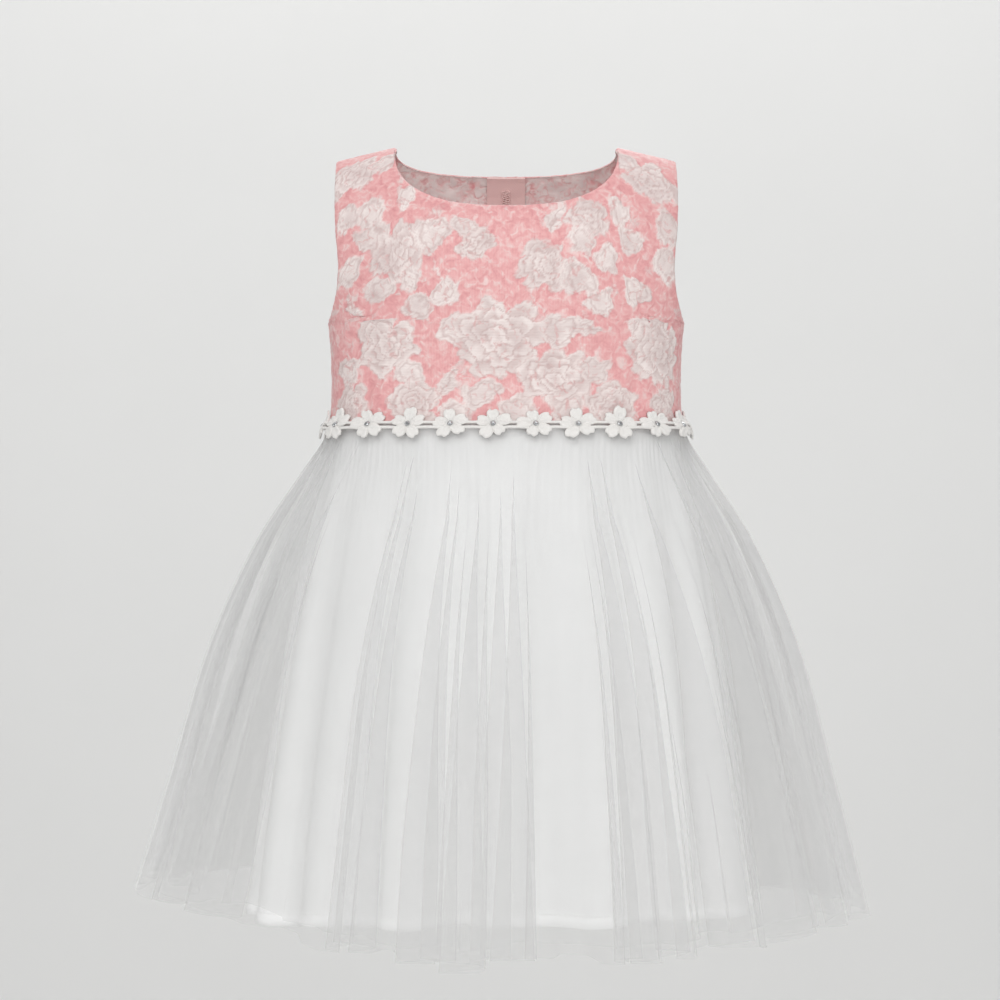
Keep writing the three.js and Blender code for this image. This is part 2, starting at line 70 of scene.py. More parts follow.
# Neck, shoulders and armholes
NECK_HALF_WIDTH = 72
NECK_ROUND = 2.6
NECK_DROP = {FRONT: 42, BACK: 15}
SHOULDER_HALF_WIDTH = 110
SHOULDER_FALL = 9
ARMHOLE_BEND = 50
NECK_COLUMNS = 0.6

# How finely the bodice is drawn: millimetres between points of its outer face, and how many times
# coarser its inner face is
BODICE_STEP = 0.92
INNER_COARSER = 2

# Skirts: half width, front and back depth and depth of fold from the waist seam to the hem, and how many
# folds lie between one side angle and the next. 0 degrees is the centre front and 90 the wearer's left.
# lean is how far each fold's flanks lie over its hollows, as a share of the fold: flat stretches of one
# layer alternate with bands where the cloth lies three layers deep.
# round is 2 for an oval section and more for a squarer one. uneven is the share by which folds differ in
# depth, and phase_drift how fast that changes from fold to fold. hem_swing, side_lift, right_lift and
# ragged raise the hem in millimetres: fold by fold, at both sides, at the wearer's right, and in small
# steps. fine_folds is how deep the small folds are, against a third of a fold, and gathers is how deep the
# gathers at the waist are. degrees and rows say how finely the cloth is drawn.
UNDERSKIRT = {
    "sections": table(
        "z width front back fold",
        (-180.3, 111.5, 63.5, 57.5, 0),
        (-205, 114.5, 65.5, 59.5, 0.4),
        (-250, 126, 72, 66, 1.6),
        (-330, 140, 80, 74, 3.2),
        (-410, 151, 87, 81, 4.6),
        (-492, 160, 93, 87, 5.6),
    ),
    "spans": table(
        "to folds lean", (-90, 0, 0), (0, 4, 0.03), (90, 4, 0.03), (180, 3, 0.03), (270, 3, 0.03)
    ),
    "round": 2.1,
    "uneven": 0.35,
    "hem_swing": 1.5,
    "side_lift": 0,
    "right_lift": -5,
    "phase_drift": 2.1,
    "fine_folds": 0.25,
    "gathers": 0.5,
    "ragged": 0,
    "degrees": 0.75,
    "rows": 81,
}
TULLE_INNER = {
    "sections": table(
        "z width front back fold",
        (-180.3, 113.7, 65.7, 59.7, 0),
        (-190, 115, 67, 61, 0.2),
        (-212, 124, 74, 68, 1.4),
        (-262, 148, 91, 85, 2.8),
        (-340, 172, 110, 104, 4),
        (-415, 194, 122, 116, 4.6),
        (-498, 212, 133, 127, 5),
    ),
    "spans": table(
        "to folds lean",
        (-90, 0, 0),
        (-35, 4, 0.1),
        (30, 4, 0.06),
        (90, 4, 0.1),
        (180, 5, 0.14),
        (270, 5, 0.14),
    ),
    "round": 2.1,
    "uneven": 0.3,
    "hem_swing": 1.5,
    "side_lift": 10,
    "right_lift": 14,
    "phase_drift": 1.3,
    "fine_folds": 0.35,
    "gathers": 0.6,
    "ragged": 1.6,
    "degrees": 0.4,
    "rows": 61,
}
TULLE_OUTER = {
    "sections": table(
        "z width front back fold",
        (-180.3, 116.1, 68.1, 62.1, 0),
        (-190, 117.9, 69.9, 63.9, 0.2),
        (-210, 130, 80.5, 74.5, 2),
        (-255, 158, 101, 95, 3.8),
        (-325, 187, 123, 117, 5.3),
        (-415, 210, 139, 133, 6.2),
        (-503, 231, 152, 146, 6.6),
    ),
    "spans": table(
        "to folds lean",
        (-90, 0, 0),
        (-45, 3, 0.4),
        (-27, 1, 0.03),
        (-20.5, 2, 0.48),
        (-14, 1, 0.03),
        (5, 4, 0.55),
        (15.5, 1, 0.03),
        (28, 3, 0.5),
        (33, 1, 0.08),
        (90, 4, 0.36),
        (128, 2, 0.28),
        (145, 1, 0.05),
        (180, 4, 0.36),
        (202, 1, 0.05),
        (240, 3, 0.3),
        (270, 2, 0.28),
    ),
    "round": 2.1,
    "uneven": 0.28,
    "hem_swing": 2.5,
    "side_lift": 12,
    "right_lift": 15,
    "phase_drift": 2.4,
    "fine_folds": 0.35,
    "gathers": 0.9,
    "ragged": 2.2,
    "degrees": 0.25,
    "rows": 71,
}

# All skirts sway a little to the wearer's right, and take up the skirt's own roundness over a short way
# below the waist. The gathers die out further down.
SKIRT_SWAY = -3
FLARE_LENGTH = 60
HEM_DRIFT = 1.7
GATHERS_ROUND = 150
GATHERS_FADE_OVER = 110

# The satin's turned hem and the height of its stitches, and how far the net's shading follows the skirt
# instead of each fold
HEM_DEPTH = 9
HEM_STITCHES_UP = HEM_DEPTH - 1.5
HEM_STITCH_DEGREES = 0.5
NET_BROAD_SHARE = 0.8

# Zip: its nylon coil lies on the inner side of the tape, behind the closed edges of the back halves
COIL_TOP_Z = -20
COIL_DEPTH = 3.6
COIL_PITCH = 1.4
COIL_LOOP_STEPS = 10
COIL_THREAD = 0.3

# Sewing: real thread is about 0.25 mm thick and is drawn a little thicker, so that it shows
STITCH_PITCH = 3.2
STITCH_THICK = 0.22
STITCH_SINK = 0.2
STITCH_GROOVE = 1.3
ZIP_STITCHES_OUT = 6.5

# Waist trim: flowers with a stone each, on two slack cords. TRIM_LIES is how far out the trim's back lies
# from the bodice's section at the waist seam, and TRIM_SLIDE how far the flowers at the front lie towards
# the wearer's left.
FLOWERS = 22
PETALS = 5
PETAL_REACH = 10.8
PETAL_NOTCH = 0.44
FLOWER_STRETCH = 1.16
TRIM_END_GAP = 3
TRIM_SLIDE = 5
TRIM_LIES = table("z out", (-168, 0.6), (-176, 0.9), (-181, 4.3), (-190, 6.3))
TRIM_SEED = 5
CORDS = table("up sag", (0.9, 0.3), (-2.9, -0.5))
CORD_FROM = 4
CORD_STEPS = 15
CORD_OUT = 0.75
CORD_RADIUS = 0.95
STONE_RADIUS = 1.75
STONE_FACETS = 16

# The camera stands level. In the side seams' plane one of the picture's 1000 pixels is 0.65 mm wide.
PIXEL = 0.65
CAMERA_DISTANCE = 1850
CAMERA_X = -4
HORIZON_ROW = 475
NECK_ROW = 148


# Small helpers
def mix(a, b, share):
    return a + (b - a) * share


def smooth(share):
    return share * share * (3 - 2 * share)


def rise(value, start, end):
    """0 below start, 1 above end and a smooth step between them."""
    return smooth(np.clip((value - start) / (end - start), 0, 1))


def along(rows, column, z):
    """A table's column at heights z, on a smooth curve through its rows, which run from the top down."""
    last = len(rows) - 1
    heights = np.array([row["z"] for row in rows], float)
    values = np.array([row[column] for row in rows], float)
    before = np.maximum(np.arange(last + 1) - 1, 0)
    after = np.minimum(np.arange(last + 1) + 1, last)
    slopes = (values[after] - values[before]) / (heights[after] - heights[before])
    k = np.clip(np.searchsorted(-heights, -z) - 1, 0, last - 1)
    span = heights[k + 1] - heights[k]
    t = np.clip((z - heights[k]) / span, 0, 1)
    bend = t * (1 - t) * span
    return mix(values[k], values[k + 1], smooth(t)) + bend * ((1 - t) * slopes[k] - t * slopes[k + 1])


def unit(vectors):
    return vectors / np.maximum(np.linalg.norm(vectors, axis=-1, keepdims=True), 1e-9)


def lengths_along(grid, axis):
    """The length along a grid's lines up to each of its points."""
    steps = np.linalg.norm(np.diff(grid, axis=axis), axis=-1)
    start = np.zeros_like(np.take(steps, [0], axis=axis))
    return np.concatenate([start, np.cumsum(steps, axis=axis)], axis=axis)


def grid_normals(grid):
    """Unit normals of a grid of points, columns by rows, towards the side where both turn anticlockwise."""
    return unit(np.cross(np.gradient(grid, axis=0), np.gradient(grid, axis=1)))


def grid_quads(columns, rows):
    """The faces of a grid whose points are numbered column by column."""
    corner = (np.arange(columns - 1)[:, None] * rows + np.arange(rows - 1)[None, :]).ravel()
    return np.stack([corner, corner + rows, corner + rows + 1, corner + 1], axis=1)


def grid_border(columns, rows):
    """The points round the edge of such a grid, anticlockwise from its first one."""
    below = np.arange(columns - 1) * rows
    right = (columns - 1) * rows + np.arange(rows - 1)
    above = np.arange(columns - 1, 0, -1) * rows + rows - 1
    left = np.arange(rows - 1, 0, -1)
    return np.concatenate([below, right, above, left])


def make_piece(name, points, faces, material, attributes=None, cloth=None, sharp=False, normals=None):
    """A mesh object from points in millimetres, with values for its points, that rides on a body."""
    mesh = bpy.data.meshes.new(name)
    mesh.from_pydata((np.asarray(points) * MM).tolist(), [], [list(map(int, face)) for face in faces])
    mesh.validate()
    if not sharp:
        mesh.shade_smooth()
    for key, values in (attributes or {}).items():
        mesh.attributes.new(key, "FLOAT", "POINT").data.foreach_set("value", np.ravel(values))
    if cloth is not None:
        corners = np.empty(len(mesh.loops), int)
        mesh.loops.foreach_get("vertex_index", corners)
        mesh.uv_layers.new(name="cloth").data.foreach_set("uv", (cloth * MM)[corners].ravel())
    mesh.materials.append(material)
    if normals is not None:
        mesh.normals_split_custom_set(normals.tolist())
    piece = bpy.data.objects.new(name, mesh)
    bpy.context.scene.collection.objects.link(piece)
    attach(piece, "dress")
    return piece


def shell(outer, inward, thick, coarser=1, edge_bulge=0.1):
    """Points and faces of a thin cloth with a rounded edge, from the grid of its outer face.

    Also gives, for each point, the outer point that it lies under, and whether it is on the inner face."""
    columns, rows = outer.shape[:2]
    border = grid_border(columns, rows)
    flat_outer = outer.reshape(-1, 3)
    flat_inward = inward.reshape(-1, 3)
    inner_all = flat_outer + thick * flat_inward
    past_edge = outer.copy()
    past_edge[0] += outer[0] - outer[1]
    past_edge[-1] += outer[-1] - outer[-2]
    past_edge[:, 0] += outer[:, 0] - outer[:, 1]
    past_edge[:, -1] += outer[:, -1] - outer[:, -2]
    out_of_edge = unit((past_edge - outer).reshape(-1, 3)[border])
    rim = (flat_outer + inner_all)[border] / 2 + edge_bulge * out_of_edge
    number = np.arange(columns * rows).reshape(columns, rows)
    kept = number[::coarser, ::coarser]
    points = np.concatenate([flat_outer, rim, inner_all[kept.ravel()]])
    under = np.concatenate([np.arange(columns * rows), border, kept.ravel()])
    reverse = np.zeros(len(points))
    reverse[columns * rows + len(border) :] = 1
    first_inner = columns * rows + len(border)
    faces = grid_quads(columns, rows).tolist()
    faces += (first_inner + grid_quads(*kept.shape)[:, ::-1]).tolist()
    inner_border = first_inner + grid_border(*kept.shape)
    count = len(border)
    for k in range(count):
        following = (k + 1) % count
        rim_a = columns * rows + k
        rim_b = columns * rows + following
        faces.append([border[k], rim_a, rim_b, border[following]])
        low = inner_border[k // coarser]
        if coarser == 1:
            faces.append([rim_a, low, inner_border[following], rim_b])
        elif k % coarser == 0:
            faces.append([rim_a, low, rim_b])
        else:
            high = inner_border[(k // coarser + 1) % len(inner_border)]
            faces.append([rim_a, low, high, rim_b])
    return points, faces, under, reverse


# Bodice forms


def ridge(x):
    """The height of the shoulder's ridge at distances from the middle."""
    share = (np.abs(x) - NECK_HALF_WIDTH) / (SHOULDER_HALF_WIDTH - NECK_HALF_WIDTH)
    return -SHOULDER_FALL * np.maximum(share, 0)


def figure(facing, angle, z):
    """Points of the bodice's outer face, by their angles from the centre front or back and heights."""
    width = along(FORM, "width", z)
    depth = along(FORM, "front" if facing == FRONT else "back", z)
    x = np.sign(angle) * width * np.sin(np.abs(angle)) ** (2 / FORM_ROUND)
    drop = np.clip((ridge(x) - z) / SHOULDER_ROLL, 0, 1)
    roll = np.sqrt(1 - (1 - drop) ** 2)
    out = depth * roll * np.maximum(np.cos(angle), 0) ** (2 / FORM_ROUND)
    return np.stack([x, facing * (SEAM_GAP / 2 + out), z], axis=-1)


def angle_at(x, z):
    """The angle at which the figure is x wide at height z."""
    return np.arcsin(np.minimum(x / along(FORM, "width", z), 1) ** (FORM_ROUND / 2))


def outer_angle(z):
    """The angle of the panel's outer edge: the side seam, and the armhole above the armpit."""
    shoulder = angle_at(SHOULDER_HALF_WIDTH, np.array(-SHOULDER_FALL))
    share = np.clip((z - ARMPIT_Z) / ARMHOLE_BEND, 0, 1)
    return mix(shoulder, QUARTER, 1 - np.sqrt(1 - (1 - share) ** 2))


def column_top(facing, m):
    """Where bodice columns end: the inner ones on the neck edge, the outer ones on the shoulder seam."""
    shoulder_x = mix(NECK_HALF_WIDTH, SHOULDER_HALF_WIDTH, (m - NECK_COLUMNS) / (1 - NECK_COLUMNS))
    turn = np.minimum(m / NECK_COLUMNS, 1) * QUARTER
    neck_x = NECK_HALF_WIDTH * np.sin(turn) ** (2 / NECK_ROUND)
    neck_z = -NECK_DROP[facing] * np.maximum(np.cos(turn), 0) ** (2 / NECK_ROUND)
    on_shoulder = m > NECK_COLUMNS
    return np.where(on_shoulder, shoulder_x, neck_x), np.where(on_shoulder, ridge(shoulder_x), neck_z)


def even_half_columns(facing, count):
    """Shares of the half width, 0 to 1, whose columns are evenly spaced along the waist seam."""
    m = np.linspace(0, 1, 2000)
    waist = figure(facing, m * QUARTER, np.full_like(m, WAIST_Z))
    run = lengths_along(waist, 0)
    return np.interp(np.linspace(0, run[-1], count), run, m)


def row_shares(count):
    """Shares of the height, evenly spaced below the armpit and closer together under the shoulder."""
    armpit = (ARMPIT_Z - WAIST_Z) / (-SHOULDER_FALL - WAIST_Z)
    below = round(count * armpit)
    upper = mix(armpit, 1, (1 - np.cos(np.linspace(0, math.pi, count - below))) / 2)
    return np.concatenate([np.linspace(0, armpit, below, endpoint=False), upper])


def bodice_grid(facing, shares, rows):
    """A bodice panel's outer face as a grid of points, by shares of its half width and of its height."""
    u = shares[:, None]
    v = rows[None, :]
    m = np.abs(u)
    top_x, top_z = column_top(facing, m)
    z = mix(WAIST_Z, top_z, v)
    top_share = angle_at(top_x, top_z) / outer_angle(top_z)
    angle = np.sign(u) * mix(m, top_share, smooth(v)) * outer_angle(z)
    return figure(facing, angle, z)


# Jacquard pattern, in millimetres on the cloth. Each drawing function takes places along and across one
# motif and gives how far inside its outline they are and how strong its drawn lines are there.


def blossom(p, q, size, count):
    """A full flower: four rings of ruffled petals, each with its outline, clefts, veins and shading."""
    reach = np.hypot(p, q)
    turn = np.arctan2(q, p)
    ruffle = 0.07 * np.sin(3 * turn + size) + 0.045 * np.sin(8 * turn + 2 * size) + 0.03 * np.sin(13 * turn)
    inside = np.full_like(p, -9.0)
    lines = np.zeros_like(p)
    for ring, share in enumerate((1, 0.74, 0.5, 0.27)):
        lobe = np.abs(np.cos((count - ring) * turn / 2 + 1.3 * ring + size)) ** 0.55
        depth = size * share * (0.72 + 0.28 * lobe + ruffle) - reach
        outline = np.exp(-(((depth - 0.45) / 0.55) ** 2))
        cleft = np.exp(-((lobe / 0.28) ** 2)) * rise(depth, 0, 1.6)
        vein = 0.45 * np.cos(count * 5 * turn + ring) ** 8 * rise(depth, 0.8, size * 0.2)
        shading = 0.6 * rise(depth, 0.06 * size, 0.3 * size)
        drawn = np.maximum(np.maximum(outline, cleft), np.maximum(vein, shading))
        lines = np.where(depth > 0, drawn, lines)
        inside = np.maximum(inside, depth)
    return inside, lines


def petal(p, q, size, count):
    """A loose petal, ruffled at its rim, with a turned-over edge and a few veins from its foot."""
    turn = np.arctan2(q, p)
    reach = np.hypot(p, q * (1.2 + 0.3 * p / size)) * (1 + 0.07 * np.sin(5 * turn + size))
    foot = np.arctan2(q, p + size)
    fold = 0.8 * np.exp(-(((reach / size - 0.66 - 0.1 * np.cos(turn)) / 0.07) ** 2))
    vein = 0.5 * np.cos(count * 4 * foot) ** 6 * rise(reach, 0.1 * size, 0.5 * size)
    return size - reach, np.maximum(np.maximum(fold, vein), 0.3 * rise(-reach, -0.6 * size, 0))


def leaf(p, q, size, count):
    """A pointed leaf with a midrib and slanting veins."""
    share = np.clip(p / size / 2 + 0.5, 0, 1)
    inside = 0.42 * size * np.sin(math.pi * share**0.8) - np.abs(q)
    rib = np.exp(-((q / 0.5) ** 2))
    veins = 0.6 * np.cos((p - 0.8 * np.abs(q)) * math.pi * count / size) ** 6
    return np.where(np.abs(p) < size, inside, -9.0), np.maximum(rib, veins)


def stem(p, q, size, count):
    """A bent stalk."""
    return np.where(np.abs(p) < size, 0.8 - np.abs(q - p * p / (count * size)), -9.0), np.zeros_like(p)


def sprig(p, q, size, count):
    """A thin curl with small leaves on alternate sides."""
    curl = q - p * p / (2.2 * size)
    inside = np.where(np.abs(p) < size, 0.45 - np.abs(curl), -9.0)
    for k in range(count):
        middle = mix(-0.8, 0.9, k / (count - 1)) * size
        side = 1.5 if k % 2 else -1.5
        leaflet = 1.0 - np.hypot((p - middle) / 1.7, curl - side)
        inside = np.maximum(inside, leaflet)
    return inside, np.zeros_like(p)


DRAWN = {"blossom": blossom, "petal": petal, "leaf": leaf, "stem": stem, "sprig": sprig}

# Where the motifs lie on the front, seen from the front. Later ones lie over earlier ones. wide stretches
# a motif across its turn, and count is the number of petals, veins or leaves, or a stem's straightness.
MOTIFS = table(
    "kind x z size wide turn count",
    ("stem", -44, -84, 10, 1, -70, 3),
    ("stem", 19, -105, 9, 1, -60, 3),
    ("petal", -86, -46, 11, 1.1, 70, 3),
    ("petal", -101, -50, 10, 1, 110, 3),
    ("blossom", -97, -20, 16, 1.2, 20, 5),
    ("petal", -76, -12, 11, 1, 200, 3),
    ("petal", -63, -36, 10, 1, 30, 3),
    ("petal", -85, -62, 11, 1.2, 160, 3),
    ("blossom", -68, -72, 20, 1.25, 50, 6),
    ("petal", -47, -61, 14, 1, 20, 4),
    ("petal", -99, -84, 11, 1, 60, 3),
    ("petal", -61, -90, 9, 1, -80, 3),
    ("blossom", -19, -66, 11, 1.2, 30, 5),
    ("petal", -26, -56, 8, 1.2, 10, 3),
    ("petal", -79, -96, 11, 1.2, 10, 3),
    ("petal", -38, -98, 9, 1.3, 100, 3),
    ("petal", -56, -107, 11, 1.1, 60, 3),
    ("blossom", -77, -130, 21, 1.1, 10, 6),
    ("leaf", -98, -106, 12, 1, 100, 4),
    ("petal", -100, -146, 11, 1, 40, 3),
    ("blossom", -98, -166, 13, 1.1, 60, 5),
    ("petal", -60, -149, 10, 1.1, 30, 3),
    ("blossom", -58, -167, 15, 1.2, 70, 5),
    ("leaf", -37, -155, 12, 1.2, 55, 6),
    ("petal", -16, -161, 11, 1.2, 20, 3),
    ("petal", -30, -174, 9, 1.2, 0, 3),
    ("leaf", 47, -119, 16, 1, -5, 5),
    ("petal", 33, -121, 14, 1, 10, 4),
    ("petal", -28, -122, 15, 1, 175, 4),
    ("blossom", -5, -126, 26, 1.25, 15, 7),
    ("petal", 7, -173, 12, 1.3, 90, 3),
    ("blossom", 30, -151, 19, 1.3, 40, 6),
    ("petal", 56, -146, 10, 1.2, 20, 3),
    ("blossom", 66, -168, 15, 1.3, 10, 5),
    ("petal", 40, -172, 10, 1.2, 50, 3),
    ("blossom", 25, -82, 17, 1.2, 30, 6),
    ("petal", 45, -89, 13, 1.1, -15, 4),
    ("petal", 60, -103, 11, 1.1, 60, 3),
    ("petal", 81, -97, 11, 1.2, 110, 3),
    ("leaf", 32, -50, 12, 1, 60, 4),
    ("blossom", 53, -50, 14, 1.2, 80, 5),
    ("petal", 71, -46, 12, 1.1, 30, 3),
    ("petal", 78, -63, 11, 1, 0, 3),
    ("petal", 47, -66, 10, 1.1, -60, 3),
    ("petal", 64, -77, 11, 1, -40, 3),
    ("blossom", 93, -25, 17, 1.2, 15, 5),
    ("petal", 76, -12, 11, 1, 60, 3),
    ("petal", 103, -56, 12, 1, 90, 3),
    ("petal", 101, -78, 12, 1, 70, 3),
    ("petal", 86, -116, 10, 1.1, 20, 3),
    ("blossom", 95, -133, 24, 1, 5, 7),
    ("blossom", 101, -168, 13, 1, 40, 5),
)
SPRIGS = 130
LOOSE_PETALS = 70
SCATTERED_FROM = (-165, -178)
SCATTERED_TO = (165, 10)
MOTIF_SEED = 11


def hand_drawn(a, b):
    """Places moved a little, so that the motifs' outlines are as uneven as drawn ones."""
    da = 1.3 * np.sin(b / 3.9 + 1.1) + 0.8 * np.sin((a + b) / 2.3) + 0.45 * np.sin(a / 0.9 - b / 1.1)
    db = 1.3 * np.sin(a / 4.3 + 0.4) + 0.8 * np.sin((a - b) / 2.1) + 0.45 * np.sin(b / 0.8 + a / 1.3)
    return a + da, b + db


def lay_motif(fields, a, b, motif, centre, strength):
    """Draws one motif into a panel's fields. Its outline covers what was drawn there before."""
    reach = 1.6 * motif["size"] * motif["wide"]
    near = np.nonzero((np.abs(a - centre[0]) < reach) & (np.abs(b - centre[1]) < reach))
    if not len(near[0]):
        return
    turn = math.radians(motif["turn"])
    along_x = (a[near] - centre[0]) / motif["wide"]
    along_y = b[near] - centre[1]
    p = along_x * math.cos(turn) + along_y * math.sin(turn)
    q = along_y * math.cos(turn) - along_x * math.sin(turn)
    inside, lines = DRAWN[motif["kind"]](p, q, motif["size"], motif["count"])
    covers = rise(inside, -0.9, 1.5)
    fields["motif"][near] = np.maximum(fields["motif"][near], strength * covers)
    fields["line"][near] = mix(fields["line"][near], lines, covers)
    fields["rim"][near] = mix(fields["rim"][near], np.exp(-((inside / 1.4) ** 2)), covers)


def cloth_place(grid, cloth, x, z):
    """The place on the cloth that is seen from the front or back at x and z."""
    gap = (grid[..., 0] - x) ** 2 + (grid[..., 2] - z) ** 2
    return cloth.reshape(-1, 2)[np.argmin(gap)]


def jacquard_fields(grid, cloth, turned):
    """The pattern's values at a panel's points. The back takes the front's layout turned round."""
    shape = grid.shape[:2]
    fields = {key: np.zeros(shape) for key in ("motif", "line", "rim")}
    a, b = hand_drawn(cloth[..., 0], cloth[..., 1])
    draw = np.random.default_rng(MOTIF_SEED)
    for _ in range(SPRIGS):
        centre = draw.uniform(SCATTERED_FROM, SCATTERED_TO)
        curl = {"kind": "sprig", "size": draw.uniform(6, 10), "turn": draw.uniform(0, 360)}
        lay_motif(fields, a, b, {**curl, "wide": 1, "count": 5}, centre, 0.45)
    for _ in range(LOOSE_PETALS):
        centre = draw.uniform(SCATTERED_FROM, SCATTERED_TO)
        loose = {"kind": "petal", "size": draw.uniform(3, 6.5), "turn": draw.uniform(0, 360)}
        lay_motif(fields, a, b, {**loose, "wide": draw.uniform(0.8, 1.3), "count": 3}, centre, 0.5)
    for motif in MOTIFS:
        x = -motif["x"] if turned else motif["x"]
        near_panel = np.min(np.abs(grid[..., 0] - x)) < motif["size"]
        if near_panel:
            lay_motif(fields, a, b, motif, cloth_place(grid, cloth, x, motif["z"]), 1)
    return fields


# Creases of the worn bodice, seen from the front or the back: soft troughs (depth below 0) and ridges
CREASES = {
    FRONT: table(
        "x1 z1 x2 z2 width depth",
        (-106, -118, -74, -96, 6, -1.1),
        (-108, -126, -70, -112, 5, 0.7),
        (-104, -134, -80, -128, 4.5, -0.7),
        (107, -116, 80, -100, 6.5, -1.0),
        (108, -128, 78, -119, 5, 0.7),
        (104, -140, 86, -137, 4.5, -0.6),
        (-97, -178, -88, -132, 5, 0.8),
        (-89, -178, -83, -144, 3.5, -0.8),
        (-78, -178, -76, -156, 3.5, 0.5),
        (-52, -178, -50, -160, 4, -0.45),
        (-14, -178, -17, -163, 4, 0.4),
        (22, -178, 20, -158, 4.5, -0.45),
        (49, -178, 53, -162, 4, 0.4),
        (81, -178, 84, -146, 4, -0.8),
        (92, -178, 93, -140, 5, 0.7),
        (-96, -24, -88, -62, 6, -0.6),
        (96, -26, 90, -58, 6, -0.5),
        (-60, -30, -40, -52, 6, 0.4),
        (58, -28, 42, -50, 6.5, 0.4),
    ),
    BACK: table(
        "x1 z1 x2 z2 width depth",
        (-104, -120, -62, -104, 7, -1.1),
        (-106, -132, -70, -122, 5, 0.7),
        (103, -117, 70, -104, 6, -0.9),
        (105, -130, 66, -118, 5.5, 0.7),
        (-30, -146, -4, -138, 5, 0.6),
        (-34, -158, -4, -152, 4, -0.6),
        (34, -152, 4, -143, 5, 0.6),
        (28, -164, 4, -158, 4, -0.6),
        (-88, -178, -82, -140, 4.5, -0.8),
        (84, -178, 80, -134, 4.5, -0.8),
        (-74, -178, -71, -152, 4, 0.6),
        (70, -178, 69, -148, 4, 0.6),
        (-92, -26, -78, -66, 6, -0.6),
        (92, -24, 80, -62, 6, -0.5),
    ),
}


def crease_heights(grid, cloth, facing):
    """How far the worn cloth stands in or out at each point of a bodice panel."""
    height = np.zeros(grid.shape[:2])
    for crease in CREASES[facing]:
        start = cloth_place(grid, cloth, crease["x1"], crease["z1"])
        end = cloth_place(grid, cloth, crease["x2"], crease["z2"])
        run = end - start
        share = np.clip(((cloth - start) @ run) / max(run @ run, 1), 0, 1)
        bow = 2.5 * np.sin(math.pi * share)[..., None] * np.array([-run[1], run[0]]) / max(np.hypot(*run), 1)
        gap = np.linalg.norm(cloth - (start + share[..., None] * run + bow), axis=-1)
        taper = mix(0.35, 1, np.sin(math.pi * (0.15 + 0.75 * share)))
        height += crease["depth"] * taper * np.exp(-((gap / crease["width"]) ** 2))
    return height


def pucker_heights(cloth):
    """The small uneven puckers that the tighter ground leaves all over the jacquard."""
    a, b = hand_drawn(cloth[..., 0], cloth[..., 1])
    wide = np.sin(a / 2.7 + 1.3 * np.sin(b / 6.1)) * np.sin(b / 2.3 + 1.1 * np.sin(a / 5.3))
    close = np.sin((a + 0.6 * b) / 1.7) * np.sin((b - 0.5 * a) / 1.5)
    return 0.2 * wide + 0.09 * close


# Materials


def colour(code):
    """A linear colour from its sRGB hex code."""
    parts = [int(code[k : k + 2], 16) / 255 for k in (1, 3, 5)]
    return tuple(p / 12.92 if p <= 0.04045 else ((p + 0.055) / 1.055) ** 2.4 for p in parts) + (1,)


def add(tree, kind, inputs=None, **settings):
    """Adds a shader node with its settings. Each input is a value or an output to link."""
    node = tree.nodes.new("ShaderNode" + kind)
    for key, value in settings.items():
        setattr(node, key, value)
    for key, value in (inputs or {}).items():
        if isinstance(value, bpy.types.NodeSocket):
            tree.links.new(value, node.inputs[key])
        else:
            node.inputs[key].default_value = value
    return node


def new_material(name, **surface):
    """A material with one Principled surface, and its node tree."""
    material = bpy.data.materials.new(name)
    material.use_nodes = True
    tree = material.node_tree
    tree.nodes.clear()
    made = add(tree, "BsdfPrincipled", {key.replace("_", " "): value for key, value in surface.items()})
    add(tree, "OutputMaterial", {"Surface": made.outputs[0]})
    return material, tree, made


def link(tree, output, node, key):
    tree.links.new(output, node.inputs[key])


def drawn_values(tree, key):
    """The values that a piece's points carry under a name."""
    return add(tree, "Attribute", attribute_name=key).outputs["Fac"]


def maths(tree, operation, *values):
    """One step of arithmetic on numbers or outputs."""
    return add(tree, "Math", dict(enumerate(values)), operation=operation).outputs[0]


def speckle(tree, scale, detail=2.0, distortion=0.0):
    """Uneven values from 0 to 1 all over a piece, in spots about 1 / scale metres across."""
    spot = add(tree, "TexCoord").outputs["Object"]
    noise = {"Vector": spot, "Scale": scale, "Detail": detail, "Distortion": distortion}
    return add(tree, "TexNoise", noise).outputs["Fac"]


def remap(tree, value, low=0.0, high=1.0, to_low=0.0, to_high=1.0):
    """Values from low to high, brought to another range and held there beyond it."""
    return add(tree, "MapRange", {0: value, 1: low, 2: high, 3: to_low, 4: to_high}).outputs[0]


def threads(tree, spacing, axis):
    """A wave across threads that lie spacing millimetres apart, along the cloth's width or height."""
    cloth = add(tree, "UVMap", uv_map="cloth")
    parts = add(tree, "SeparateXYZ", {0: cloth.outputs[0]})
    return maths(tree, "SINE", maths(tree, "MULTIPLY", parts.outputs[axis], FULL_TURN / (spacing * MM)))


def coloured_mix(tree, share, first, second):
    """A mix by a share of two colours, each a hex code or an output."""
    first, second = (colour(each) if isinstance(each, str) else each for each in (first, second))
    return add(tree, "Mix", {0: share, 6: first, 7: second}, data_type="RGBA").outputs[2]


def paint(tree, surface, share, first, second):
    """Colours a surface with a mix of two colours."""
    link(tree, coloured_mix(tree, share, first, second), surface, "Base Color")


def vary_roughness(tree, surface, share, low, high):
    """Makes a surface rougher where the share is high."""
    link(tree, remap(tree, share, to_low=low, to_high=high), surface, "Roughness")


def emboss(tree, surface, height, strength, deep):
    """Adds a fine relief, deep in millimetres, to a surface or under another relief, and gives its node."""
    bump = add(tree, "Bump", {"Height": height, "Strength": strength, "Distance": deep * MM})
    link(tree, bump.outputs[0], surface, "Normal")
    return bump


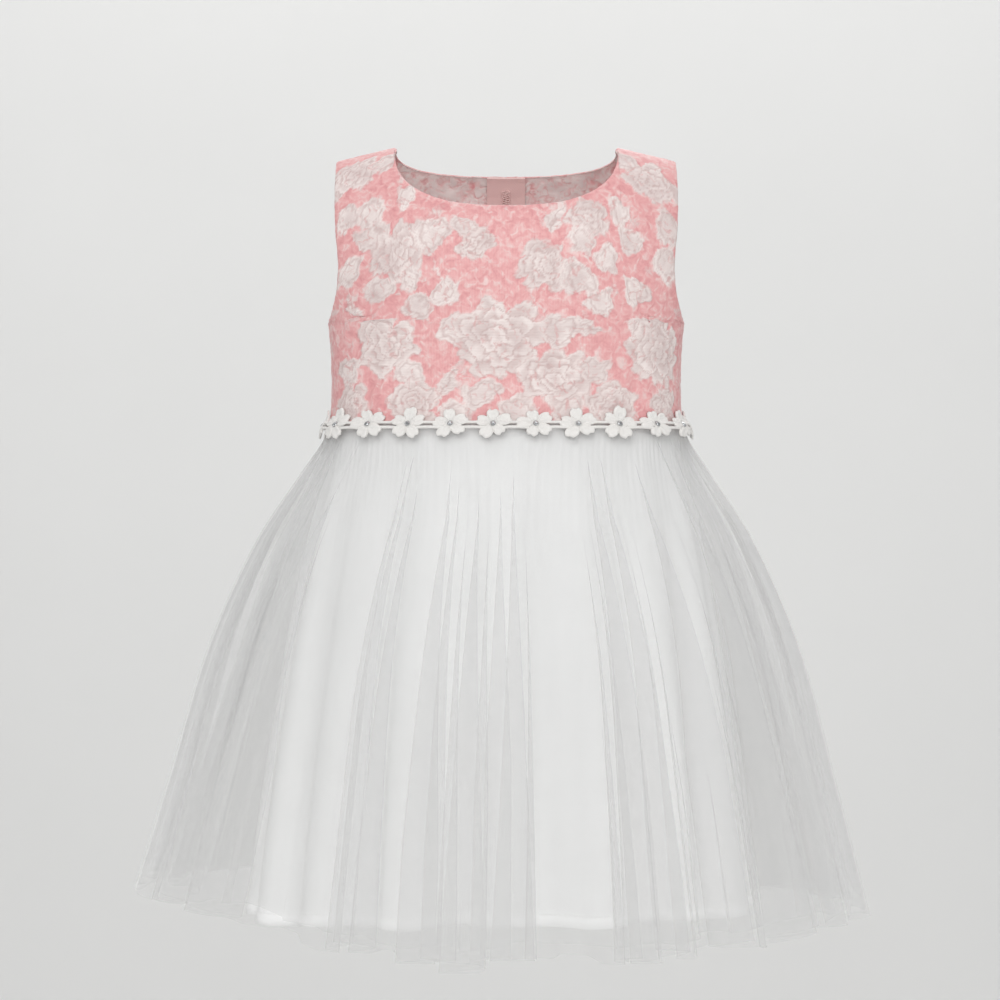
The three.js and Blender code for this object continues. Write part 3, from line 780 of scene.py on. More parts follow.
def jacquard_material():
    """Polyester jacquard, woven with satin floats: the coral ground gleams a little along the warp and
    the cream flowers are duller, with grey shading threads and a paler edge where the yarns mingle."""
    material, tree, surface = new_material(
        "woven_polyester_jacquard", Roughness=0.55, Sheen_Weight=0.05, Sheen_Roughness=0.5, IOR=1.5
    )
    motif = drawn_values(tree, "motif")
    slub = speckle(tree, 420.0)
    # Small woven curls, about 5 mm across, run all over the ground and the flowers.
    curls = speckle(tree, 200.0, 4.0, 1.0)
    pale_curl = remap(tree, curls, 0.46, 0.72)
    deep_curl = remap(tree, curls, 0.46, 0.26)
    even_ground = coloured_mix(tree, deep_curl, "#ECACAC", "#DF999B")
    ground = coloured_mix(tree, pale_curl, even_ground, "#F5CCC9")
    # The shading yarn lies thicker over some parts of a flower than others, about 15 mm across.
    clouded = remap(tree, speckle(tree, 62.0), 0.42, 0.66)
    bright_cream = coloured_mix(tree, slub, "#FAEFEC", "#F2E5E1")
    cream = coloured_mix(tree, clouded, bright_cream, "#E4D5D2")
    mottled = coloured_mix(tree, deep_curl, cream, "#E2C8C4")
    paler = maths(tree, "MULTIPLY", drawn_values(tree, "rim"), 0.5)
    petal_cloth = coloured_mix(tree, paler, mottled, "#F8E4E0")
    greyer = maths(tree, "MULTIPLY", drawn_values(tree, "line"), 0.7)
    flower = coloured_mix(tree, greyer, petal_cloth, "#C4A5A2")
    # Single threads cross from ground to flower and back, so a flower's edge is ragged close up.
    stray = remap(tree, curls, 0.3, 0.7, -0.34, 0.34)
    on_flower = remap(tree, maths(tree, "ADD", motif, stray), 0.12, 0.9)
    woven = coloured_mix(tree, on_flower, ground, flower)
    # Real threads lie about 0.4 mm apart. They are drawn at 1 mm, so that they show.
    weave = {0: motif, 2: threads(tree, 1.0, 0), 3: threads(tree, 1.0, 1)}
    crossed = add(tree, "Mix", weave, data_type="FLOAT").outputs[0]
    # The base colour is darkened by up to 7% where the threads' relief is low. This is painted shade in the
    # hollows between the threads.
    thread_hollow_shade = remap(tree, crossed, -1.0, 1.0, 0.93, 1.0)
    woven_with_hollow_shade = add(tree, "Mix", {0: 1.0, 6: woven, 7: thread_hollow_shade}, data_type="RGBA", blend_type="MULTIPLY")
    link(tree, woven_with_hollow_shade.outputs[2], surface, "Base Color")
    relief = emboss(tree, surface, maths(tree, "ADD", on_flower, curls), 0.5, 0.6)
    emboss(tree, relief, maths(tree, "ADD", crossed, slub), 0.2, 0.3)
    vary_roughness(tree, surface, motif, 0.5, 0.68)
    return material


def satin_material():
    """Polyester satin, woven and calendered: smooth and bright, with a soft gleam along its folds."""
    material, tree, surface = new_material(
        "woven_polyester_satin", Roughness=0.42, Sheen_Weight=0.15, IOR=1.5, Specular_IOR_Level=0.4
    )
    cloudy = speckle(tree, 30.0, 4.0)
    single = coloured_mix(tree, cloudy, "#F5F5F5", "#EDEDED")
    # The hem is three layers deep, so less light is lost through it and it looks whiter.
    paint(tree, surface, drawn_values(tree, "hem"), single, "#FCFCFC")
    # Satin floats lie about 0.2 mm apart and are drawn at 0.8 mm.
    emboss(tree, surface, threads(tree, 0.8, 0), 0.12, 0.2)
    vary_roughness(tree, surface, cloudy, 0.36, 0.5)
    return material


def tulle_material(name, alpha):
    """Nylon tulle, a warp-knitted hexagon net: a matt haze that is denser where its folds overlap."""
    material, tree, surface = new_material(
        name, Roughness=0.8, IOR=1.53, Alpha=alpha, Sheen_Weight=0.9, Sheen_Roughness=0.6
    )
    # The net's holes are about 1.2 mm wide and are drawn 2 mm wide, so that the net can show close up.
    net = maths(tree, "MULTIPLY", threads(tree, 2.0, 0), threads(tree, 2.0, 1))
    paint(tree, surface, remap(tree, net, -1.0, 1.0), "#D0D0CF", "#CACAC9")
    emboss(tree, surface, net, 0.05, 0.2)
    return material


def lace_material():
    """Guipure lace, machine-embroidered in cotton: thick matt threads that run out along each petal."""
    material, tree, surface = new_material("embroidered_cotton_guipure", Roughness=0.8, Sheen_Weight=0.3)
    fuzz = speckle(tree, 900.0, 3.0)
    paint(tree, surface, fuzz, "#F8F6F3", "#E6E3DF")
    # The embroidery thread is about 0.3 mm thick and is drawn at 0.7 mm.
    emboss(tree, surface, maths(tree, "ADD", threads(tree, 0.7, 0), fuzz), 0.35, 0.3)
    return material


def stone_material():
    """Foil-backed cut glass stones: their flat facets mirror the room in greys."""
    material, tree, surface = new_material("foil_backed_cut_glass", Metallic=0.85, Coat_Weight=0.6)
    scuff = speckle(tree, 500.0)
    paint(tree, surface, scuff, "#C6C7C8", "#B2B4B7")
    vary_roughness(tree, surface, scuff, 0.05, 0.2)
    return material


def tape_material():
    """Woven polyester zip tape in a fine herringbone: a soft matt pale pink."""
    material, tree, surface = new_material("woven_polyester_tape", Roughness=0.8, Sheen_Weight=0.2)
    place = add(tree, "SeparateXYZ", {0: add(tree, "TexCoord").outputs["Object"]})
    # The herringbone's threads lie about 0.5 mm apart and are drawn at 1 mm.
    slant = maths(tree, "ADD", maths(tree, "ABSOLUTE", place.outputs[0]), place.outputs[2])
    wave = maths(tree, "SINE", maths(tree, "MULTIPLY", slant, FULL_TURN / (1.0 * MM)))
    paint(tree, surface, remap(tree, wave, -1.0, 1.0), "#F0CFCB", "#E2B9B6")
    emboss(tree, surface, wave, 0.4, 0.2)
    return material


def nylon_material():
    """Extruded nylon monofilament for the zip's coil: smooth, with a waxy gleam."""
    material, tree, surface = new_material("extruded_nylon", IOR=1.53)
    uneven = speckle(tree, 300.0)
    paint(tree, surface, uneven, "#F2D6D2", "#E8C6C2")
    vary_roughness(tree, surface, uneven, 0.3, 0.42)
    return material


def lacquer_material():
    """Zinc casting with baked pink lacquer: glossy, slightly orange-peeled, duller where it is handled."""
    material, tree, surface = new_material("lacquered_cast_zinc", Metallic=0.25, Coat_Weight=0.5)
    worn = speckle(tree, 350.0, 4.0)
    paint(tree, surface, worn, "#EBC7C3", "#DDB1AE")
    vary_roughness(tree, surface, worn, 0.22, 0.4)
    emboss(tree, surface, worn, 0.15, 0.1)
    return material


def thread_material(name, pale, deep):
    """Twisted polyester sewing thread: a soft gleam on the twist."""
    material, tree, surface = new_material(name, Roughness=0.5, Sheen_Weight=0.3)
    paint(tree, surface, speckle(tree, 1500.0), pale, deep)
    return material


def backdrop_material():
    """Matt studio paper, faintly mottled."""
    material, tree, surface = new_material("matt_paper", Roughness=0.95)
    paint(tree, surface, speckle(tree, 3.0), "#EDEDEC", "#E9E9E8")
    return material


JACQUARD = jacquard_material()
SATIN = satin_material()
TULLE_OVER = tulle_material("knitted_nylon_tulle_over", 0.27)
TULLE_UNDER = tulle_material("knitted_nylon_tulle_under", 0.26)
LACE = lace_material()
STONE = stone_material()
TAPE_CLOTH = tape_material()
NYLON = nylon_material()
LACQUER = lacquer_material()
WHITE_THREAD = thread_material("twisted_polyester_thread_white", "#FBFBFA", "#E9E9E8")
PINK_THREAD = thread_material("twisted_polyester_thread_pink", "#F0BDBB", "#E3A9A8")
PAPER = backdrop_material()


# Bodice


def edge_roll(gap, width, depth):
    """How far a turned edge rolls inwards at each point, by its distance from the edge."""
    return -depth * np.clip(1 - gap / width, 0, 1) ** 2


def bodice_panel(name, facing, shares, rows):
    """One bodice panel as a thin shell with its pattern, creases, turned edges and seam grooves."""
    grid = bodice_grid(facing, shares, rows)
    if name != "bodice_front":
        grid[..., 0] += SEAM_GAP / 2 if name == "bodice_back_left" else -SEAM_GAP / 2
    middle = int(np.argmin(np.abs(shares)))
    run = lengths_along(grid, 0)
    way = 1 if shares[-1] > shares[0] else -1
    cloth = np.stack([way * (run - run[middle]), WAIST_Z + lengths_along(grid, 1)], axis=-1)
    fields = jacquard_fields(grid, cloth, facing == BACK)
    normals = grid_normals(grid)
    height = crease_heights(grid, cloth, facing)
    height += 0.2 * fields["motif"] - 0.15 * fields["line"] * fields["motif"]
    height += pucker_heights(cloth)
    to_top = lengths_along(grid[:, ::-1], 1)[:, ::-1]
    m = np.abs(shares)[:, None]
    from_side = np.abs(run - np.where(shares[:, None] * way > 0, run[-1], run[0]))
    on_neck = m <= NECK_COLUMNS
    above_armpit = grid[..., 2] > ARMPIT_Z
    height += np.where(on_neck, edge_roll(to_top, 2.5, 0.5), edge_roll(to_top, 1.5, 0.4))
    height += np.where(above_armpit, edge_roll(from_side, 2.5, 0.5), edge_roll(from_side, 2, 0.5))
    if facing == BACK:
        # The stitches beside the zip pull the cloth in to one depth.
        stitched_in = np.exp(-(((np.abs(cloth[..., 0]) - ZIP_STITCHES_OUT) / STITCH_GROOVE) ** 2))
        height = mix(height, -STITCH_SINK, stitched_in * rise(COIL_TOP_Z + 8 - grid[..., 2], 0, 3))
    outer = grid + height[..., None] * normals
    points, faces, under, reverse = shell(outer, -normals, BODICE_THICK, INNER_COARSER)
    attributes = {key: values.ravel()[under] for key, values in fields.items()}
    # Woven in two colours, the cloth shows them the other way round on its back.
    attributes["motif"] = mix(attributes["motif"], 0.75 * (1 - attributes["motif"]), reverse)
    attributes["line"] = attributes["line"] * (1 - reverse)
    return make_piece(
        name + "_jacquard",
        points,
        faces,
        JACQUARD,
        attributes=attributes,
        cloth=cloth.reshape(-1, 2)[under],
    )


def make_bodice():
    """The front and the two back halves, each in place of its CAD wall."""
    half = even_half_columns(FRONT, round(150 / BODICE_STEP) // 2 * 2 + 1)
    rows = row_shares(round(185 / BODICE_STEP) // 2 * 2 + 1)
    whole = np.concatenate([-half[:0:-1], half])
    panels = {
        "bodice_front": bodice_panel("bodice_front", FRONT, whole, rows),
        "bodice_back_left": bodice_panel("bodice_back_left", BACK, half[::-1], rows),
        "bodice_back_right": bodice_panel("bodice_back_right", BACK, -half, rows),
    }
    for name, panel in panels.items():
        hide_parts(name)
    return panels


# Skirts


def fold_phase(skirt, angle):
    """The phase of the folds, in whole folds, at side angles in degrees."""
    knots = [row["to"] for row in skirt["spans"]]
    return np.interp(angle, knots, np.cumsum([row["folds"] for row in skirt["spans"]]))


def fold_width(skirt, angle):
    """How many degrees one fold takes up at side angles."""
    step = 0.01
    low = fold_phase(skirt, np.clip(angle - step, -90, 270))
    high = fold_phase(skirt, np.clip(angle + step, -90, 270))
    return np.clip(2 * step / np.maximum(high - low, 1e-6), 0, 30)


def fold_lean(skirt, angle):
    """How far the folds at side angles lean over, with some of them slacker than others."""
    knots = np.array([row["to"] for row in skirt["spans"]])
    leans = np.array([row["lean"] for row in skirt["spans"]])
    span = np.clip(np.searchsorted(knots, angle), 1, len(knots) - 1)
    return leans[span] * (1 + 0.45 * np.sin(4.1 * np.floor(2 * fold_phase(skirt, angle)) + 0.7))


def skirt_points(skirt, angle, z):
    """Points of a skirt's cloth by side angles in degrees and heights, with the folds, gathers and hem."""
    top = skirt["sections"][0]["z"]
    hem = skirt["sections"][-1]["z"]
    share = (top - z) / (top - hem)
    phase = fold_phase(skirt, angle)
    turn = np.radians(angle)
    fold = along(skirt["sections"], "fold", z)
    # The side seam where the phase starts again has folds of even depth.
    seam_fade = np.clip(np.minimum(angle + 90, 270 - angle) / 12, 0, 1)
    crest = fold * (1 + seam_fade * skirt["uneven"] * np.sin(skirt["phase_drift"] * phase))
    crest = crest * np.cos(FULL_TURN * phase)
    wander = 0.8 * np.sin(3 * turn + 2.2 * share) + 0.6 * np.sin(7 * turn - 1.7 * share)
    fine = np.sin(FULL_TURN * phase * 3 + 1.6 * wander) * np.sin(5 * turn + 0.6 + 1.2 * share)
    crest = crest + skirt["fine_folds"] * fold / 3 * fine
    gathers = np.clip(1 - (top - z) / GATHERS_FADE_OVER, 0, 1) ** 2 * rise(top - z, 2, 14)
    gather_turn = GATHERS_ROUND * turn + 0.9 * np.sin(11 * turn) + 1.3 * np.sin(29 * turn)
    crest = crest + skirt["gathers"] * gathers * np.sin(gather_turn)
    slack = 0.75 + 0.25 * np.sin(2.7 * np.floor(phase))
    lean_from = 0.07 + 0.05 * np.sin(5.3 * np.floor(2 * phase))
    lean = fold_lean(skirt, angle) * np.clip((share - lean_from) / slack, 0, 1) ** 0.8
    shift = lean * fold_width(skirt, angle) * np.sin(2 * FULL_TURN * phase)
    shift = shift + 0.9 * seam_fade * share * wander
    leaning = turn + np.radians(shift)
    flare = np.clip((top - z) / FLARE_LENGTH, 0, 1)
    power = 2 / mix(FORM_ROUND, skirt["round"], flare)
    sine = np.sin(leaning)
    cosine = np.cos(leaning)
    front = along(skirt["sections"], "front", z)
    back = along(skirt["sections"], "back", z)
    depth = np.where(cosine > 0, front, back)
    width = along(skirt["sections"], "width", z)
    swing = skirt["hem_swing"] * np.sin(HEM_DRIFT * skirt["phase_drift"] * phase) * seam_fade
    ragged = skirt["ragged"] * (np.sin(13 * turn) + 0.7 * np.sin(31 * turn + 1) + 0.15 * np.sin(97 * turn))
    lift = swing + ragged + skirt["side_lift"] * np.sin(turn) ** 2
    lift = lift + skirt["right_lift"] * rise(-np.sin(turn), 0.2, 0.85)
    return np.stack(
        [
            np.sign(sine) * (width + crest) * np.abs(sine) ** power + SKIRT_SWAY * share,
            -np.sign(cosine) * (SEAM_GAP / 2 + (depth + crest) * np.abs(cosine) ** power),
            z + share**3 * lift + 0 * angle,
        ],
        axis=-1,
    )


def skirt_grid(skirt, start, end, degrees):
    """A skirt panel's cloth as a grid, from one side angle to another and from the hem up."""
    columns = round((end - start) / degrees) + 1
    angle = np.linspace(start, end, columns)[:, None]
    sections = skirt["sections"]
    # Rows lie closer together below the waist seam, where the cloth turns out over the gathers.
    share = np.linspace(1, 0, skirt["rows"])[None, :] ** 1.35
    z = mix(sections[0]["z"], sections[-1]["z"], share)
    return skirt_points(skirt, angle, z)


PANELS = table("part start end", ("front", -90, 90), ("back_left", 90, 180), ("back_right", 180, 270))


def cloth_lengths(grid):
    """Places on the cloth, in millimetres from the grid's first corner."""
    return np.stack([lengths_along(grid, 0), lengths_along(grid, 1)], axis=-1)


def broad_normals(grid, quads):
    """A normal for each corner of each face that follows the skirt's broad shape more than its folds. The
    round threads of a net catch light from every side, so a fold's turn changes its shade much less than
    it would on close cloth."""
    normals = grid_normals(grid)
    columns = len(grid)
    reach = columns // 8
    padded = np.pad(normals, ((reach, reach), (0, 0), (0, 0)), mode="edge")
    total = np.cumsum(padded, axis=0)
    total = np.concatenate([0 * total[:1], total])
    broad = unit(total[2 * reach + 1 :][:columns] - total[:columns]).reshape(-1, 3)[quads]
    own = normals.reshape(-1, 3)[quads]
    # Where a fold has turned the cloth over, its own outer side faces inwards.
    corners = grid.reshape(-1, 3)[quads]
    face_normal = np.cross(corners[:, 2] - corners[:, 0], corners[:, 3] - corners[:, 1])[:, None]

    def signed(towards):
        return towards * np.sign(np.sum(towards * face_normal, axis=-1, keepdims=True) + 1e-9)

    return unit(NET_BROAD_SHARE * signed(broad) + (1 - NET_BROAD_SHARE) * signed(own))


def make_tulle(name, skirt, material):
    """One layer of tulle, in three panels, each in place of its CAD wall. The net has no thickness."""
    panels = []
    for panel in PANELS:
        grid = skirt_grid(skirt, panel["start"], panel["end"], skirt["degrees"])
        quads = grid_quads(*grid.shape[:2])
        cad_name = f"{name}_{panel['part']}"
        piece = make_piece(
            cad_name + "_net",
            grid.reshape(-1, 3),
            quads,
            material,
            cloth=cloth_lengths(grid).reshape(-1, 2),
            normals=broad_normals(grid, quads).reshape(-1, 3),
        )
        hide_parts(cad_name)
        # Light passes on through the net's threads, so the net throws no shadow that shows.
        piece.visible_shadow = False
        panels.append(piece)
    return panels


def make_underskirt():
    """The satin underskirt, in three panels, each in place of its CAD wall, with a turned hem."""
    panels = []
    for panel in PANELS:
        grid = skirt_grid(UNDERSKIRT, panel["start"], panel["end"], UNDERSKIRT["degrees"])
        normals = grid_normals(grid)
        cloth = cloth_lengths(grid)
        # Three thicknesses of cloth lie in the hem, and its stitches pull the cloth in along its top.
        from_hem = cloth[..., 1]
        hem = 1 - rise(from_hem, HEM_DEPTH - 1, HEM_DEPTH + 1)
        pulled_in = 0.35 + 0.15 * np.sin(cloth[..., 0] / 1.9)
        dent = np.exp(-(((from_hem - HEM_STITCHES_UP) / 1.2) ** 2)) * pulled_in
        outer = grid + (0.5 * hem - dent)[..., None] * normals
        points, faces, under, _ = shell(outer, -normals, SATIN_THICK)
        cad_name = f"underskirt_{panel['part']}"
        piece = make_piece(
            cad_name + "_satin",
            points,
            faces,
            SATIN,
            attributes={"hem": hem.ravel()[under]},
            cloth=cloth.reshape(-1, 2)[under],
        )
        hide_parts(cad_name)
        panels.append(piece)
    return panels


def hem_stitches():
    """The row of lockstitches that holds the underskirt's hem, all round."""
    grid = skirt_grid(UNDERSKIRT, -90, 270, HEM_STITCH_DEGREES)
    normals = grid_normals(grid)
    up = lengths_along(grid, 1)
    row = np.array([np.interp(HEM_STITCHES_UP, heights, np.arange(len(heights))) for heights in up])
    low = np.floor(row).astype(int)
    part = (row - low)[:, None]
    column = np.arange(len(grid))

    def at_row(values):
        return mix(values[column, low], values[column, low + 1], part)

    return stitched(at_row(grid) + 0.35 * at_row(normals), at_row(normals))


# Waist trim


def waist_line():
    """The line round the waist seam from the centre back, by the wearer's right side: the places, the
    ways out and the length up to each."""
    turn = np.linspace(math.pi, 3 * math.pi, 721)
    sine = np.sin(turn)
    cosine = np.cos(turn)
    waist = FORM[-1]
    depth = np.where(cosine > 0, waist["front"], waist["back"])
    x = np.sign(sine) * waist["width"] * np.abs(sine) ** (2 / FORM_ROUND)
    y = -np.sign(cosine) * (SEAM_GAP / 2 + depth * np.abs(cosine) ** (2 / FORM_ROUND))
    places = np.stack([x, y], axis=1)
    ahead = np.empty_like(places)
    ahead[5:-5] = places[10:] - places[:-10]
    ahead[:5] = places[5:10] - places[:5]
    ahead[-5:] = places[-5:] - places[-10:-5]
    ahead = unit(ahead)
    outward = np.stack([ahead[:, 1], -ahead[:, 0]], axis=1)
    return places, outward, lengths_along(places, 0)


WAIST_PLACES, WAIST_OUTWARD, WAIST_RUN = waist_line()
FLOWER_PITCH = (WAIST_RUN[-1] - TRIM_END_GAP) / FLOWERS


def round_waist(run, up, out):
    """Bends trim points round the waist, from their run along it, height and distance out."""
    z = WAIST_Z + up
    distance = out + along(TRIM_LIES, "out", z)

    def at(values):
        return np.interp(run, WAIST_RUN, values)

    x = at(WAIST_PLACES[:, 0]) + distance * at(WAIST_OUTWARD[:, 0])
    y = at(WAIST_PLACES[:, 1]) + distance * at(WAIST_OUTWARD[:, 1])
    return np.stack([x, y, z + 0 * run], axis=-1)


def join_parts(parts):
    """Several parts' points, faces and cloth places as one."""
    points = []
    faces = []
    cloth = []
    first = 0
    for part_points, part_faces, part_cloth in parts:
        points.append(part_points)
        cloth.append(part_cloth)
        faces += [[first + int(k) for k in face] for face in part_faces]
        first += len(part_points)
    return np.concatenate(points), faces, np.concatenate(cloth)


def make_joined(name, parts, material, sharp=False):
    """One piece made of several parts."""
    points, faces, cloth = join_parts(parts)
    return make_piece(name, points, faces, material, cloth=cloth, sharp=sharp)


def lace_flower(middle, spin, size):
    """One padded lace flower: five raised petals round a low centre, closed by a flat back."""
    spokes = 90
    rings = np.array([0.08, 0.16, 0.26, 0.38, 0.5, 0.62, 0.74, 0.84, 0.92, 0.97, 1.0])
    turn = np.linspace(0, FULL_TURN, spokes, endpoint=False)[:, None]
    lobe = np.abs(np.cos(PETALS * (turn - QUARTER) / 2))
    uneven = 0.97 + 0.08 * np.sin(2 * turn + 9 * spin) + 0.06 * np.sin(3 * turn + 23 * spin)
    tip_notch = 1 - 0.1 * rise(lobe, 0.93, 1)
    outline = PETAL_NOTCH + (1 - PETAL_NOTCH) * lobe**0.55
    reach = size * uneven * PETAL_REACH * tip_notch * outline * rings[None, :]
    petal_dome = np.sqrt(np.clip(1 - ((rings[None, :] - 0.6) / 0.44) ** 2, 0, 1))
    seam = np.exp(-((lobe / 0.22) ** 2))
    # A cord is worked round each petal, and the petal's middle is sunk and lightly ribbed.
    cup = 0.7 * np.exp(-(((rings[None, :] - 0.6) / 0.16) ** 2)) * lobe**2
    ribs = 0.05 * np.sin(20 * turn) * np.exp(-(((rings[None, :] - 0.6) / 0.2) ** 2))
    height = 0.4 + 1.7 * petal_dome * (1 - 0.75 * seam) - cup + ribs
    height[:, -1] = 0.25
    run = middle + FLOWER_STRETCH * reach * np.cos(turn + spin)
    up = reach * np.sin(turn + spin)
    number = np.arange(spokes * len(rings)).reshape(spokes, len(rings))
    following = np.roll(number, -1, axis=0)
    faces = np.stack([number[:, :-1], number[:, 1:], following[:, 1:], following[:, :-1]], axis=-1)
    faces = faces.reshape(-1, 4).tolist()
    centre = spokes * len(rings)
    edge = number[:, -1]
    for k in range(spokes):
        following_edge = edge[(k + 1) % spokes]
        faces.append([centre, number[k, 0], following[k, 0]])
        faces.append([centre + 1, following_edge, edge[k]])
    run = np.append(run.ravel(), [middle, middle])
    up = np.append(up.ravel(), [0, 0])
    out = np.append(height.ravel(), [0.4, 0])
    cloth = np.stack([np.append((turn * 8 + 0 * rings[None, :]).ravel(), [0, 0]), out], axis=1)
    return round_waist(run, up, out), faces, cloth


def tube(path, radius, sides, closed=False):
    """A round cord along a path of points: its points, faces and the places round and along it."""
    path = np.asarray(path, float)
    ahead = unit(np.gradient(path, axis=0))
    if closed:
        ahead = unit(np.roll(path, -1, axis=0) - np.roll(path, 1, axis=0))
    side = unit(np.cross(ahead, np.broadcast_to([0.03, 0.05, 1.0], path.shape)))
    over = np.cross(side, ahead)
    turn = np.linspace(0, FULL_TURN, sides, endpoint=False)
    ring = np.cos(turn)[None, :, None] * side[:, None, :] + np.sin(turn)[None, :, None] * over[:, None, :]
    points = (path[:, None, :] + radius * ring).reshape(-1, 3)
    count = len(path)
    number = np.arange(count * sides).reshape(count, sides)
    after = np.roll(number, -1, axis=0) if closed else number[1:]
    here = number if closed else number[:-1]
    faces = np.stack([here, after, np.roll(after, -1, axis=1), np.roll(here, -1, axis=1)], axis=-1)
    faces = faces.reshape(-1, 4).tolist()
    if not closed:
        faces.append(number[0].tolist())
        faces.append(number[-1, ::-1].tolist())
    run = np.repeat(lengths_along(path, 0), sides)
    return points, faces, np.stack([run, np.tile(turn, count)], axis=1)


def stitched(path, outward):
    """A row of lockstitches along a line on cloth: short lengths of thread that dip in at both ends."""
    run = lengths_along(path, 0)
    share = np.linspace(0, 1, 5)
    parts = []

    def at(values, places):
        return np.stack([np.interp(places, run, values[:, k]) for k in range(3)], axis=-1)

    for start in np.arange(0.5, run[-1] - STITCH_PITCH, STITCH_PITCH):
        places = start + share * STITCH_PITCH * 0.8
        dip = STITCH_THICK * (4 * share * (1 - share) - 0.3)
        parts.append(tube(at(path, places) + dip[:, None] * at(outward, places), STITCH_THICK, 5))
    return parts


def make_trim():
    """The row of lace flowers joined by twin cords, in place of the CAD trim, and its stones."""
    draw = np.random.default_rng(TRIM_SEED)
    parts = []
    stones = []
    for k in range(FLOWERS):
        middle = (k + 0.5) * FLOWER_PITCH + TRIM_END_GAP / 2
        middle += TRIM_SLIDE * math.sin(math.pi * (k + 0.5) / FLOWERS)
        parts.append(lace_flower(middle, draw.uniform(-0.35, 0.35), draw.uniform(0.93, 1.0)))
        stones.append(cut_stone(middle))
        if k == FLOWERS - 1:
            continue
        for cord in CORDS:
            share = np.linspace(0, 1, CORD_STEPS)
            run = middle + mix(CORD_FROM, FLOWER_PITCH - CORD_FROM, share)
            up = cord["up"] - cord["sag"] * np.sin(math.pi * share)
            parts.append(tube(round_waist(run, up, np.full(CORD_STEPS, CORD_OUT)), CORD_RADIUS, 8))
    trim = make_joined("flower_trim_lace", parts, LACE)
    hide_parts("flower_trim")
    return trim, make_joined("flower_stones", stones, STONE, sharp=True)


def cut_stone(middle):
    """One faceted stone at the centre of a flower: a girdle, a crown of facets and a flat table."""
    turn = np.linspace(0, FULL_TURN, STONE_FACETS, endpoint=False)
    rings = table("share out twist", (0.8, 0.5, 0), (1, 1.1, 0), (0.82, 1.7, 0.5), (0.5, 2.15, 0))
    run = []
    up = []
    out = []
    for ring in rings:
        spin = turn + ring["twist"] * FULL_TURN / STONE_FACETS
        run.append(middle + STONE_RADIUS * ring["share"] * np.cos(spin))
        up.append(STONE_RADIUS * ring["share"] * np.sin(spin))
        out.append(np.full(STONE_FACETS, ring["out"]))
    points = round_waist(np.concatenate(run), np.concatenate(up), np.concatenate(out))
    number = np.arange(len(rings) * STONE_FACETS).reshape(len(rings), STONE_FACETS)
    faces = []
    for low, high in zip(number[:-1], number[1:]):
        for k in range(STONE_FACETS):
            following = (k + 1) % STONE_FACETS
            faces.append([low[k], low[following], high[k]])
            faces.append([low[following], high[following], high[k]])
    faces.append(number[-1].tolist())
    faces.append(number[0, ::-1].tolist())
    return points, faces, points[:, :2]


# Zip


def centre_back(z):
    """Places and ways out along the centre back at heights z."""
    above = figure(BACK, 0 * z, z + 0.5)
    below = figure(BACK, 0 * z, z - 0.5)
    up = unit(above - below)
    outward = np.stack([0 * z, up[..., 2], -up[..., 1]], axis=-1)
    return figure(BACK, 0 * z, z), outward


def make_coil():
    """The zip's two rows of coil, which lock into each other down the centre back."""
    loops = int((COIL_TOP_Z - WAIST_Z - 2) / COIL_PITCH)
    phase = np.linspace(0, loops, loops * COIL_LOOP_STEPS + 1)
    z = WAIST_Z + 1 + COIL_PITCH * phase
    parts = []
    for side in (-1, 1):
        turn = FULL_TURN * (phase + (0.5 if side > 0 else 0))
        place, outward = centre_back(z)
        path = place - (COIL_DEPTH - 0.55 * np.sin(turn))[:, None] * outward
        path[:, 0] += side * (1.1 + 1.5 * np.cos(turn))
        parts.append(tube(path, COIL_THREAD, 5))
    return make_joined("zip_coil", parts, NYLON)


def zip_stitches():
    """The rows of lockstitches that hold the two back edges to the zip's tape."""
    z = np.linspace(WAIST_Z + 6, COIL_TOP_Z + 4, 160)
    place, outward = centre_back(z)
    parts = []
    for side in (-1, 1):
        row = place - STITCH_SINK * outward
        row[:, 0] += side * ZIP_STITCHES_OUT
        parts += stitched(row, outward)
    return parts


def dress_cad_nodes():
    """Gives the CAD nodes that stay in view their real finishes."""
    for name, material in (("zip_tape", TAPE_CLOTH), ("zip_slider", LACQUER), ("zip_pull", LACQUER)):
        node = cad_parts[name]
        node.data.materials.clear()
        node.data.materials.append(material)


# Stage, light and camera, in metres

FLOOR_Z = -1.9
WALL_Y = 3.2
WALL_TOP = 5.0
SWEEP_BEND = 0.7
STAGE_DEPTH = 6
STAGE_HALF_WIDTH = 7
LIGHTS = table(
    "name place target size power",
    ("key", (-0.5, -2.8, 1.1), (0, 0, -0.25), (1.8, 1.6), 40),
    ("fill", (1.0, -2.8, 0.2), (0, 0, -0.3), (1.6, 1.6), 15),
    ("left_side", (-2.4, -0.9, -0.4), (0, 0, -0.55), (1.0, 1.2), 7),
    ("right_side", (2.4, -0.9, -0.4), (0, 0, -0.55), (1.0, 1.2), 8),
    ("top", (0, -0.3, 2.2), (0, 0, -0.3), (1.6, 1.6), 9),
    ("back", (0.4, 2.4, 1.3), (0, 0, -0.3), (1.6, 1.0), 9),
    ("wall", (0, 1.4, 3.2), (0, WALL_Y, 1.7), (5.0, 1.0), 88),
)
ROOM_LIGHT = 0.34


def on_stage(name, points, faces, material):
    mesh = bpy.data.meshes.new(name)
    mesh.from_pydata([tuple(p) for p in points], [], faces)
    mesh.shade_smooth()
    mesh.materials.append(material)
    backdrop = bpy.data.objects.new(name, mesh)
    bpy.context.scene.collection.objects.link(backdrop)


